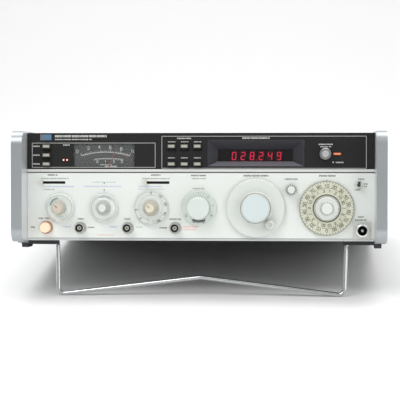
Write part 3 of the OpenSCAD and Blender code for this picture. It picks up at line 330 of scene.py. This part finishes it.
FONT = {
    "0": [[(0, 1), (0, 5), (1, 6), (3, 6), (4, 5), (4, 1), (3, 0), (1, 0), (0, 1)]],
    "1": [[(1, 5), (2, 6), (2, 0)]],
    "2": [[(0, 5), (1, 6), (3, 6), (4, 5), (4, 4), (0, 0), (4, 0)]],
    "3": [[(0, 6), (4, 6), (2, 3.6), (3, 3.6), (4, 2.6), (4, 1), (3, 0), (1, 0), (0, 1)]],
    "4": [[(3, 0), (3, 6), (0, 2), (4, 2)]],
    "5": [[(4, 6), (0, 6), (0, 3.4), (3, 3.4), (4, 2.4), (4, 1), (3, 0), (0, 0)]],
    "6": [[(4, 6), (1, 6), (0, 4), (0, 1), (1, 0), (3, 0), (4, 1), (4, 2.4), (3, 3.4), (0, 3.4)]],
    "7": [[(0, 6), (4, 6), (1.6, 0)]],
    "8": [[(1, 3.2), (0, 4.2), (0, 5), (1, 6), (3, 6), (4, 5), (4, 4.2), (3, 3.2), (1, 3.2),
           (0, 2.2), (0, 1), (1, 0), (3, 0), (4, 1), (4, 2.2), (3, 3.2)]],
    "9": [[(0, 0), (3, 0), (4, 2), (4, 5), (3, 6), (1, 6), (0, 5), (0, 3.6), (1, 2.6), (4, 2.6)]],
}


class Sheet:
    """Printed or inlaid detail, and painted shade: flat shapes in the panel's frame, given a little
    thickness.

    out is how far the shapes lie in front of the panel, and body is what they move with."""

    def __init__(self, name, finish, body="instrument", out=0.03, thick=0.05):
        self.name, self.finish, self.body, self.out, self.thick = name, finish, body, out, thick
        self.polys = []

    def poly(self, pts):
        self.polys.append([at(x, z, self.out) for x, z in pts])
        return self

    def bar(self, x0, x1, z0, z1):
        return self.poly([(x0, z0), (x1, z0), (x1, z1), (x0, z1)])

    def stroke(self, pts, width):
        """A line through the points, with each piece a little longer so that corners close."""
        for (ax, az), (bx, bz) in zip(pts, pts[1:]):
            d = math.hypot(bx - ax, bz - az)
            if d < 1e-6:
                continue
            ux, uz = (bx - ax) / d, (bz - az) / d
            nx, nz, e = -uz * width / 2, ux * width / 2, width / 3
            ax, az, bx, bz = ax - ux * e, az - uz * e, bx + ux * e, bz + uz * e
            self.poly([(ax - nx, az - nz), (bx - nx, bz - nz), (bx + nx, bz + nz), (ax + nx, az + nz)])
        return self

    def arc(self, cx, cz, r, a0, a1, width, steps=40):
        pts = [(cx + r * math.cos(math.radians(a0 + (a1 - a0) * i / steps)),
                cz + r * math.sin(math.radians(a0 + (a1 - a0) * i / steps))) for i in range(steps + 1)]
        return self.stroke(pts, width)

    def disc(self, cx, cz, r, sides=20):
        return self.poly([(cx + r * math.cos(2 * math.pi * i / sides),
                           cz + r * math.sin(2 * math.pi * i / sides)) for i in range(sides)])

    def words(self, x0, x1, z, h=1.7):
        """A run of plain short blocks where the real panel has a word."""
        x, i = x0, 0
        while x < x1 - 0.3:
            w = (0.9, 0.7, 1.1, 0.8, 1.0)[i % 5]
            self.bar(x, min(x + w, x1), z - h / 2 + (0.2 if i % 3 == 1 else 0), z + h / 2)
            x += w + (1.0 if i % 7 == 6 else 0.42)
            i += 1
        return self

    def number(self, text, cx, cz, size, angle, width):
        """A generic figure, upright at angle 0, turned anticlockwise otherwise."""
        k = size / 6
        c, s = math.cos(math.radians(angle)), math.sin(math.radians(angle))
        span = len(text) * 5.4 - 1.4
        for i, ch in enumerate(text):
            for line in FONT[ch]:
                pts = [((px + i * 5.4 - span / 2) * k, (pz - 3) * k) for px, pz in line]
                self.stroke([(cx + x * c - z * s, cz + x * s + z * c) for x, z in pts], width)
        return self

    def make(self):
        mesh = bpy.data.meshes.new(self.name)
        bm = bmesh.new()
        for pts in self.polys:
            bm.faces.new([bm.verts.new(p) for p in pts])
        lifted = bmesh.ops.extrude_face_region(bm, geom=bm.faces[:])
        moved = [g for g in lifted["geom"] if isinstance(g, bmesh.types.BMVert)]
        bmesh.ops.translate(bm, verts=moved, vec=-INWARD * self.thick / 1000)
        bmesh.ops.recalc_face_normals(bm, faces=bm.faces[:])
        bm.to_mesh(mesh)
        bm.free()
        obj = bpy.data.objects.new(self.name, mesh)
        bpy.context.scene.collection.objects.link(obj)
        mesh.materials.append(M[self.finish])
        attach(obj, self.body)


def lathe(name, finish, body, centre, outline, sides=72, flutes=0, depth=0.0, cap=True):
    """A turned piece in front of the panel, from (radius, height) points; without cap, a sleeve."""
    bm = bmesh.new()
    rings = []
    for r, h in outline:
        ring = []
        for i in range(sides):
            a = 2 * math.pi * i / sides
            cut = depth * (0.5 - 0.5 * math.cos(flutes * a))
            place = at(centre[0] + (r - cut) * math.cos(a), centre[1] + (r - cut) * math.sin(a), h)
            ring.append(bm.verts.new(place))
        rings.append(ring)
    for a, b in zip(rings, rings[1:]):
        for i in range(sides):
            j = (i + 1) % sides
            bm.faces.new((a[i], a[j], b[j], b[i]))
    if cap:
        bm.faces.new(list(reversed(rings[0])))
        bm.faces.new(rings[-1])
    bmesh.ops.recalc_face_normals(bm, faces=bm.faces[:])
    mesh = bpy.data.meshes.new(name)
    bm.to_mesh(mesh)
    bm.free()
    mesh.materials.append(M[finish])
    for p in mesh.polygons:
        p.use_smooth = len(p.vertices) == 4
    obj = bpy.data.objects.new(name, mesh)
    bpy.context.scene.collection.objects.link(obj)
    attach(obj, body)


METER_BUTTONS = [f"meter_button_{i}" for i in (1, 2, 3)]
COUNTER_BUTTONS = [f"counter_button_{i}" for i in range(1, 7)]
CAP_OUT = extent("counter_button_1", 2)[1] + 0.02  # just in front of the buttons
AM_TOP, AF_TOP = 6.02, 4.82  # faces of the two skirts

# ---------- dark upper panel ----------

lines = Sheet("upper_frames", "ink_grey")
for x0, x1, z0, z1 in ((-194, -51.4, 22.3, 50.3), (-43.7, 190.1, 21.3, 58)):
    lines.stroke([(x0, z0), (x1, z0), (x1, z1), (x0, z1), (x0, z0)], 0.62)
lines.make()

Sheet("badge_plate", "badge_pale", thick=0.3).bar(-184.6, -171.6, 53.6, 60.2).make()
Sheet("badge_field", "badge", out=0.34).bar(-178.4, -172.0, 54.0, 59.8).make()
Sheet("badge_mark", "badge_pale", out=0.4).disc(-175.2, 56.9, 1.5).make()

title = Sheet("upper_words", "ink_white")
title.words(-167.5, -107, 58.2, 2.5).words(-167.5, -125, 54.4, 1.3)
for node in METER_BUTTONS:
    title.words(-193, -185, middle(node)[1], 1.4)
title.words(-158, -150.4, 48, 1.3)
title.words(-26, -10, 55.6, 1.4).words(48.8, 80, 55.8, 1.6)
for node in COUNTER_BUTTONS[:3]:
    x = middle(node)[0]
    title.words(x - 4, x + 4.4, 51.6, 1.1).words(x - 4, x + 4.2, 33.2, 1.1)
title.words(136, 152, 48.6, 1.5).words(138, 150, 45.9, 1.3).words(155.5, 164, 28, 1.3)
title.disc(152.4, 28.2, 0.9)
title.make()

# Painted shade: a dark sheet in the gap under each button; and the paler face of its cap
wells = Sheet("button_wells", "well", out=-8.3)
for node in METER_BUTTONS + COUNTER_BUTTONS:
    x, z = middle(node)
    wells.bar(x - 4.9, x + 4.9, z - 5.4, z - 2.75)
wells.make()
for node in METER_BUTTONS + COUNTER_BUTTONS:
    x, z = middle(node)
    half_h = 1.4 if node in METER_BUTTONS else 1.5
    Sheet(node.replace("button", "cap"), "cap", node, out=CAP_OUT).bar(
        x - 3.5, x + 3.5, z - half_h, z + half_h).make()
lamps = Sheet("lamp_sparks", "lamp_hot", out=1.12)
for x in (-157.4, -153.4):
    lamps.disc(x, 30.8, 0.95, 16)
lamps.make()
Sheet("bar_lamp_face", "lamp_bar", out=0.52).bar(153.2, 161.0, 36.8, 38.8).make()

# ---------- meter ----------

SCALE_OUT = -6.37  # just in front of the meter's scale plate
scale = Sheet("meter_marks", "ink_white", out=SCALE_OUT, thick=0.06)


def graduations(centre, r, start, sweep, count, long_tick, short_tick, width):
    """Ticks along an arc from start degrees; every fifth one is long."""
    for i in range(count + 1):
        a = math.radians(start + sweep * i / count)
        c, s = math.cos(a), math.sin(a)
        end = r + (long_tick if i % 5 == 0 else short_tick)
        scale.stroke([(centre[0] + r * c, centre[1] + r * s), (centre[0] + end * c, centre[1] + end * s)],
                     width)


UPPER_ARC, UPPER_R = (-109.6, -54.8), 94.7
scale.arc(*UPPER_ARC, UPPER_R, 72.9, 107.1, 0.75)
graduations(UPPER_ARC, UPPER_R, 107.1, -34.2, 25, 2.6, 1.4, 0.5)
for text, x, z in (("0", -142.7, 40.8), ("2", -129.5, 44.4), ("4", -116.9, 45.8),
                   ("6", -104.2, 45.3), ("8", -91.3, 43.8), ("10", -77.4, 40.8)):
    scale.number(text, x, z, 3.4, 0, 0.62)
LOWER_ARC, LOWER_R = (-107, -77.4), 110.1
scale.arc(*LOWER_ARC, LOWER_R, 80.8, 98.2, 0.6)
graduations(LOWER_ARC, LOWER_R, 98.2, -17.4, 12, -1.5, -1.5, 0.45)
for i, text in enumerate(("0", "1", "2", "3")):
    scale.number(text, -119 + 9.4 * i, 28.9, 2.6, 0, 0.5)
scale.words(-116, -102, 25.4, 1.2)
scale.bar(-110.4, -96.5, 22.7, 24.2)
scale.make()
red = Sheet("meter_red_band", "needle", out=SCALE_OUT, thick=0.06)
red.arc(*UPPER_ARC, UPPER_R - 1.6, 73.2, 82, 0.5).make()

# ---------- digit display ----------

SEGMENTS = {"0": "abcdef", "1": "bc", "2": "abged", "3": "abgcd", "4": "fgbc", "5": "afgcd",
            "6": "afgecd", "7": "abc", "8": "abcdefg", "9": "abcdfg"}
digits = Sheet("digits_lit", "digit", out=-11.1, thick=0.06)
halo = Sheet("digits_halo", "halo", out=-11.18, thick=0.04)
DIGIT_X, DIGIT_Z, DIGIT_STEP = 38.9, 35.5, 10.35  # middle of the first digit, and their pitch
HALF_W, HALF_H = 2.05, 4.2  # half sizes of a digit
POINT_AFTER = 3  # digits before the decimal point
LEAN = 0.06


def segment(seg, x, z):
    """A segment of the digit at x, z, as the two ends of a stroke."""
    w, h, gap = HALF_W, HALF_H, 0.55
    ends = {"a": [(-w + gap, h), (w - gap, h)], "g": [(-w + gap, 0), (w - gap, 0)],
            "d": [(-w + gap, -h), (w - gap, -h)], "f": [(-w, gap), (-w, h - gap)],
            "b": [(w, gap), (w, h - gap)], "e": [(-w, -h + gap), (-w, -gap)],
            "c": [(w, -h + gap), (w, -gap)]}[seg]
    return [(x + px + pz * LEAN, z + pz) for px, pz in ends]


for i, ch in enumerate("028249"):
    x, z = DIGIT_X + DIGIT_STEP * i, DIGIT_Z
    halo.poly([(x - 3.4, z - 5.2), (x + 3.1, z - 5.2), (x + 3.6, z + 5.2), (x - 2.9, z + 5.2)])
    for seg in SEGMENTS[ch]:
        digits.stroke(segment(seg, x, z), 0.95)
digits.disc(DIGIT_X + DIGIT_STEP * POINT_AFTER - 4.9, 30.9, 0.5, 10)
digits.make()
halo.make()

# ---------- pale lower panel ----------

Sheet("gap_shadow", "gap", out=-1.9).bar(-199, 199, 15.85, 17.15).make()
dark_words = Sheet("lower_words", "ink")
dark_words.words(-176, -164.5, 13.5, 1.8).words(-56, -45, 13.5, 1.8).words(-10, 7, 12.9, 1.8)
dark_words.words(50.2, 78.6, 12.8, 1.9).words(97.4, 112, 8.9, 1.6).words(136.6, 155.6, 12.7, 1.9)
dark_words.stroke([(145.2, 7.8), (145.2, 2.4)], 0.9)
dark_words.words(-186.5, -181, -36.6, 1.6).words(-179, -174, -36.6, 1.6).words(-195.5, -191, -46.9, 1.6)
dark_words.words(-141, -134, -37.2, 1.6).words(-87, -80, -37.2, 1.6).words(-35, -21, -37.2, 1.6)
dark_words.words(-129.4, -121.4, -47, 1.4).words(-46.4, -37.4, -47.2, 1.6)
dark_words.words(181, 188, 8.9, 1.6).words(187, 191.6, 3.4, 1.5).words(187.4, 191.6, 0.6, 1.4)
dark_words.words(177, 183, -3.3, 1.4).words(181, 187.4, -34.2, 1.6).words(177.6, 190.4, -37.7, 1.6)
dark_words.stroke([(-110.4, 5.2), (-110.4, 3.4)], 0.8).stroke([(-110.4, -2.9), (-110.4, -5)], 0.8)
dark_words.make()

soft = Sheet("lower_notes", "ink_soft")
soft.words(-183.4, -151.4, 9.4, 1.4).words(-66, -34.2, 9.4, 1.4).words(-9, 7, 9.4, 1.4)
soft.words(-8, 6, -1.9, 1.4).words(-181, -168, -3.2, 1.2)
soft.stroke([(-70.6, -2.6), (-41, -2.6)], 0.4).stroke([(-196, -59.2), (196, -59.2)], 0.45)
soft.make()
Sheet("lower_blue", "ink_blue").words(-181.2, -145.8, 0.1, 1.5).words(-158, -149.4, -46.3, 1.6) \
    .words(-104, -95.4, -46.3, 1.6).words(-70.6, -43.4, 0.2, 1.4).make()
Sheet("lower_lilac", "ink_lilac").words(-134, -90.6, 0.3, 1.5).make()
Sheet("lower_green", "ink_green").words(-73, -66, -46.5, 1.6).words(-124, -96.8, 5.2, 1.2).make()
Sheet("lower_pink", "ink_pink").words(-19, -1, -46, 1.8).words(-19, -3, -49, 1.6) \
    .words(-118, -99, -55.6, 1.2).make()

slots = Sheet("slot_beds", "shade", out=-3.9)
for x in (-185, -64.4):
    slots.bar(x + 0.2, x + 29.2, 3.4, 6.2)
slots.make()

# ---------- knobs: marks, flutes and dial figures ----------

am, af, fm = spot("am_inner_turn"), spot("af_inner_turn"), spot("fm_inner_turn")
rng, tune, output = spot("range_turn"), spot("tuning_turn"), spot("output_knob_turn")
fine, base = spot("fine_tune_turn"), spot("time_base_turn")


def dial_figures(name, finish, body, centre, r, texts, size, out, start=90.0, sweep=-360.0):
    """Figures spaced along an arc of a dial, feet towards its centre."""
    sheet = Sheet(name, finish, body, out=out)
    n = len(texts)
    width = size * 0.2
    for i, text in enumerate(texts):
        a = start + sweep * i / n
        sheet.number(text, centre[0] + r * math.cos(math.radians(a)),
                     centre[1] + r * math.sin(math.radians(a)), size, a - 90, width)
    return sheet


def ring_ticks(sheet, centre, r0, r1, count, width, start=90.0):
    """Ticks all round a centre."""
    for i in range(count):
        a = math.radians(start + 360 * i / count)
        sheet.stroke([(centre[0] + r0 * math.cos(a), centre[1] + r0 * math.sin(a)),
                      (centre[0] + r1 * math.cos(a), centre[1] + r1 * math.sin(a))], width)
    return sheet


DIAL_OUT = 4.02  # just in front of the flat dials
outer_texts = [str(10 * (i % 10)) for i in range(1, 19)]
figures = dial_figures("output_figures_outer", "ink_dial", "output_dial", output, 25.7, outer_texts,
                       3.1, DIAL_OUT)
figures.arc(*output, 30.9, 0, 360, 0.4, 96)
ring_ticks(figures, output, 28.6, 30.7, 54, 0.45).make()
inner_texts = ["1", "3", "10", "30", "1", "3"] * 3
figures = dial_figures("output_figures_inner", "ink_dial", "output_dial", output, 19.8, inner_texts,
                       2.7, DIAL_OUT, start=80)
figures.arc(*output, 23.2, 0, 360, 0.3, 80)
ring_ticks(figures, output, 22.2, 23.2, 54, 0.3, 83.3).make()
figures = dial_figures("fm_figures", "ink", "fm_outer", fm, 17.3,
                       ("5", "10", "20", "40", "80", "1", "2", "3"), 2.5, DIAL_OUT, sweep=-300)
ring_ticks(figures, fm, 14.4, 15.4, 40, 0.3).make()
figures = dial_figures("range_figures", "ink_soft", "range_knob", rng, 16.9,
                       ("1", "2", "4", "8", "16", "32", "64"), 2.1, DIAL_OUT, sweep=-280)
figures.make()
figures = dial_figures("af_figures", "ink_green", "af_outer", af, 13.4,
                       ("1", "2", "3", "5", "7"), 1.9, AF_TOP, start=130, sweep=-100)
ring_ticks(figures, af, 15.1, 16.0, 40, 0.25).make()
ring_ticks(Sheet("range_ticks", "ink_soft", "range_knob", out=4.03), rng, 18.2, 19.2, 36, 0.3).make()
# Painted shade: a dark arc on the range dial below the knob
Sheet("range_knob_painted_shade", "grip", "range_knob", out=1.05).arc(*rng, 14.9, -120, -60, 1.3, 24).make()
Sheet("am_tint", "tint", "am_outer", out=AM_TOP).arc(*am, 11.2, 100, 165, 2.2, 24).make()
Sheet("af_tint", "tint", "af_outer", out=AF_TOP).arc(*af, 11.6, 50, 110, 2.6, 24).make()

for name, body, centre, top in (("am_mark", "am_inner", am, 22.5), ("fm_mark", "fm_inner", fm, 23.0)):
    Sheet(name, "ink", body, out=top + 0.06).stroke(
        [(centre[0] - 0.4, centre[1] + 0.4), (centre[0] - 2.6, centre[1] + 2.8)], 0.9).make()

# Fluted sleeves just outside the knobs' own sides; all but the time base knob's are coloured as painted
# shade
FLUTED = (
    # name, finish, body, centre, outline as (radius, height), flutes
    ("am_grip", "grip_warm", "am_inner", am, [(8.05, 9.0), (7.95, 10.5), (7.0, 20.8), (6.3, 21.9)], 18),
    ("af_grip", "grip_pale", "af_inner", af, [(8.05, 7.0), (7.85, 9.4), (6.7, 13.9), (5.3, 18.3)], 16),
    ("fm_grip", "grip_warm", "fm_inner", fm, [(9.25, 8.4), (9.05, 10.6), (7.1, 19.9), (5.7, 22.3)], 18),
    ("range_grip", "grip", "range_knob", rng, [(13.65, 4.6), (13.5, 7.4), (13.1, 16.5), (12.1, 17.6)], 30),
    ("tuning_grip", "grip", "tuning_knob", tune,
     [(17.75, 7.9), (17.45, 12), (17.3, 17.6), (16.3, 19.2)], 40),
    ("output_grip", "grip", "output_knob", output, [(13.75, 9.6), (13.7, 10.6), (13.1, 18.4)], 30),
    ("output_hub", "grip", "output_knob", output, [(8.1, 20.9), (7.3, 28.3), (6.3, 29.6)], 20),
    ("fine_grip", "grip", "fine_tune_knob", fine, [(6.7, 1.4), (6.5, 5), (5.3, 12.5), (4.5, 13.7)], 14),
    ("base_grip", "metal_knob", "time_base_knob", base,
     [(6.7, 1.6), (6.85, 2.2), (6.85, 9.0), (6.2, 9.9)], 28),
)
FLUTE_DEPTH = 0.2
for name, finish, body, centre, outline, count in FLUTED:
    lathe(name, finish, body, centre, outline, count * 8, count, FLUTE_DEPTH, cap=False)

FACES = (
    # name, finish, body, centre, radius, height
    ("am_face", "face_beige", "am_inner", am, 5.1, 22.5),
    ("af_face", "white", "af_inner", af, 4.3, 19.5),
    ("fm_face", "face_cream", "fm_inner", fm, 4.7, 23.0),
    ("tuning_face", "face_blue", "tuning_knob", tune, 15.1, 20.0),
    ("base_face", "steel_face", "time_base_knob", base, 3.9, 9.8),
)
for name, finish, body, centre, r, top in FACES:
    Sheet(name, finish, body, out=top).disc(*centre, r, 48).make()

# Darker rims of the skirts and dials, and a ring of painted shade round the output knob's foot
RIMS = (
    # name, finish, body, centre, radius, height, width
    ("am_rim", "edge", "am_outer", am, 14.4, AM_TOP, 0.6),
    ("af_rim", "edge", "af_outer", af, 14.3, AF_TOP, 0.6),
    ("fm_rim", "edge", "fm_outer", fm, 18.6, DIAL_OUT, 0.6),
    ("output_rim", "edge", "output_dial", output, 30.5, DIAL_OUT, 0.7),
    ("output_knob_foot_shade", "grip", "output_dial", output, 15.4, 8.02, 1.5),
)
for name, finish, body, centre, r, top, width in RIMS:
    Sheet(name, finish, body, out=top).arc(*centre, r, 0, 360, width, 96).make()

# Bevels round the caps, coloured as painted shade
for name, finish, body, centre, outline in (
        ("tuning_bevel", "grip", "tuning_knob", tune, [(17.42, 17.7), (16.42, 19.3), (15.2, 20.07)]),
        ("fine_bevel", "grip", "fine_tune_knob", fine, [(5.5, 12.4), (4.62, 13.8), (3.5, 13.95)]),
        ("output_bevel", "grip_pale", "output_knob", output, [(7.45, 28.4), (6.42, 29.72), (4.7, 29.95)])):
    lathe(name, finish, body, centre, outline, 80, cap=False)

# A ring on the spinner's end
lathe("spinner_ring", "edge", "spinner", spot("spinner_turn"),
      [(2.0, 15.45), (2.2, 15.6), (1.9, 15.65), (1.5, 15.5)], 32, cap=False)

# ---------- jacks and switches ----------

SMALL_JACKS = [(-137.9 + 54.9 * i, -47.4) for i in range(3)]
OUTPUT_JACK = (185.5, -49.6)
LINE = middle("line_button")

for i, jack in enumerate(SMALL_JACKS, 1):
    lathe(f"jack_mouth_{i}", "shade", "instrument", jack, [(4.05, 3.2), (4.05, 3.5), (2.6, 3.6)], 40)
    lathe(f"jack_rim_{i}", "shade", "instrument", jack,
          [(4.0, 9), (4.05, 12.05), (4.5, 12.08), (4.6, 11.4)], 40, cap=False)
    lathe(f"jack_insulator_{i}", "teflon", "instrument", jack,
          [(2.45, 3.6), (2.45, 10.2), (2.1, 10.55), (1.3, 10.6)], 32)
    lathe(f"jack_pin_{i}", "shade", "instrument", jack, [(0.95, 10.5), (0.95, 10.7), (0.5, 10.72)], 20)
    lathe(f"jack_washer_{i}", "nickel", "instrument", jack,
          [(7.1, 0.05), (7.1, 0.5), (6.6, 0.62), (5, 0.62)], 48)
lathe("output_mouth", "shade", "instrument", OUTPUT_JACK, [(4.85, 3.2), (4.85, 3.5), (1.8, 3.6)], 40)
lathe("output_sleeve", "shade", "instrument", OUTPUT_JACK,
      [(4.82, 4), (4.85, 12.05), (5.5, 12.06)], 40, cap=False)
lathe("output_contact", "nickel", "instrument", OUTPUT_JACK,
      [(1.68, 3.6), (1.68, 8.8), (1.3, 9.2), (0.5, 9.25)], 28)
Sheet("output_flange", "flange", out=1.62).bar(175.6, 195.4, -59.5, -39.7).make()
# Thread of the output jack, as a stack of shallow rings
thread = [p for i in range(8) for p in ((8.02, 2.5 + i * 1.06), (7.72, 3.0 + i * 1.06))]
lathe("output_thread", "shell", "instrument", OUTPUT_JACK,
      [(7.7, 2.0)] + thread + [(7.3, 12.06), (5.6, 12.08)], 56, cap=False)
lathe("line_collar", "copper", "instrument", LINE,
      [(7.4, 0.06), (7.4, 1.2), (7.1, 1.75), (6.4, 1.8)], 48, cap=False)
lathe("line_rim", "cream", "line_button", LINE, [(5.86, 8.8), (6.0, 9.2), (5.86, 9.6)], 48)

# ---------- back ----------

labels = Sheet("rear_labels", "rear_print", out=extent("rear_panel", 2)[0] - 0.08)
for i in range(3):
    labels.words(-101 + 26 * i, -89 + 26 * i, 39, 1.8)
labels.words(-176, -146, -11.5, 1.8)
labels.stroke([(-50, -44), (28, -44), (28, -14), (-50, -14), (-50, -44)], 0.6)
for i in range(4):
    labels.words(-46, 6 + 4 * i, -19 - 6 * i, 1.5)
labels.make()

# ---------- camera, light, stage ----------

# A long lens to the right of the middle, turned a little back towards it
camera = bpy.data.cameras.new("camera")
camera.sensor_width = 36
camera.lens = 137.45
camera.clip_end = 100
cam = bpy.data.objects.new("camera", camera)
bpy.context.scene.collection.objects.link(cam)
yaw, pitch, roll = math.radians(3.820), math.radians(0.8776), math.radians(0.045)
look = (INWARD * math.cos(yaw) * math.cos(pitch) - Vector((1, 0, 0)) * math.sin(yaw)
        - UP * math.sin(pitch)).normalized()
side = look.cross(UP).normalized()
over = side.cross(look)
turn = Matrix((side, over, -look)).transposed() @ Matrix.Rotation(roll, 3, "Z")
cam.matrix_world = Matrix.Translation(at(117.05, 11.73, 1748.7)) @ turn.to_4x4()
bpy.context.scene.camera = cam


def area(name, place, target, size, power):
    """A rectangular lamp at place, aimed at target; power in watts, the rest in metres."""
    light = bpy.data.lights.new(name, "AREA")
    light.shape = "RECTANGLE"
    light.size, light.size_y = size
    light.energy = power
    obj = bpy.data.objects.new(name, light)
    bpy.context.scene.collection.objects.link(obj)
    obj.location = place
    obj.rotation_euler = (Vector(target) - Vector(place)).to_track_quat("-Z", "Y").to_euler()


area("key", (-0.75, -1.4, 1.9), (0, 0, 0.1), (1.2, 1.2), 20)
area("overhead", (0.1, 0.5, 2.1), (0, 0.1, 0), (2.4, 1.6), 40)
area("front_fill", (1.5, -1.5, 0.8), (0, -0.1, 0.12), (1.2, 1.2), 9)
for side_x in (-1.7, 1.7):
    area("low_side", (side_x, 0.1, 0.28), (0, 0, 0.03), (0.5, 0.4), 1.2)

world = bpy.data.worlds.new("studio")
bpy.context.scene.world = world
world.use_nodes = True
world.node_tree.nodes["Background"].inputs["Color"].default_value = (1, 1, 1, 1)
world.node_tree.nodes["Background"].inputs["Strength"].default_value = 0.5

# A floor that sweeps up into a back wall, as (y, z) in metres
BEND_Y, BEND_R = 1.6, 1.2
profile = [(-6.0, 0.0), (BEND_Y, 0.0)]
profile += [(BEND_Y + BEND_R * math.sin(math.radians(a)), BEND_R - BEND_R * math.cos(math.radians(a)))
            for a in range(6, 91, 6)]
profile += [(BEND_Y + BEND_R, 5.0)]
bm = bmesh.new()
strips = [[bm.verts.new((x, y, z)) for x in (-6, 6)] for y, z in profile]
for a, b in zip(strips, strips[1:]):
    bm.faces.new((a[0], a[1], b[1], b[0]))
floor_mesh = bpy.data.meshes.new("studio_sweep")
bm.to_mesh(floor_mesh)
bm.free()
floor_mesh.materials.append(material("studio_floor", (248, 248, 248), 0.75, 0, 40, 0.0, 0.004))
for p in floor_mesh.polygons:
    p.use_smooth = True
floor = bpy.data.objects.new("studio_sweep", floor_mesh)
bpy.context.scene.collection.objects.link(floor)

bpy.context.scene.view_settings.view_transform = "Standard"
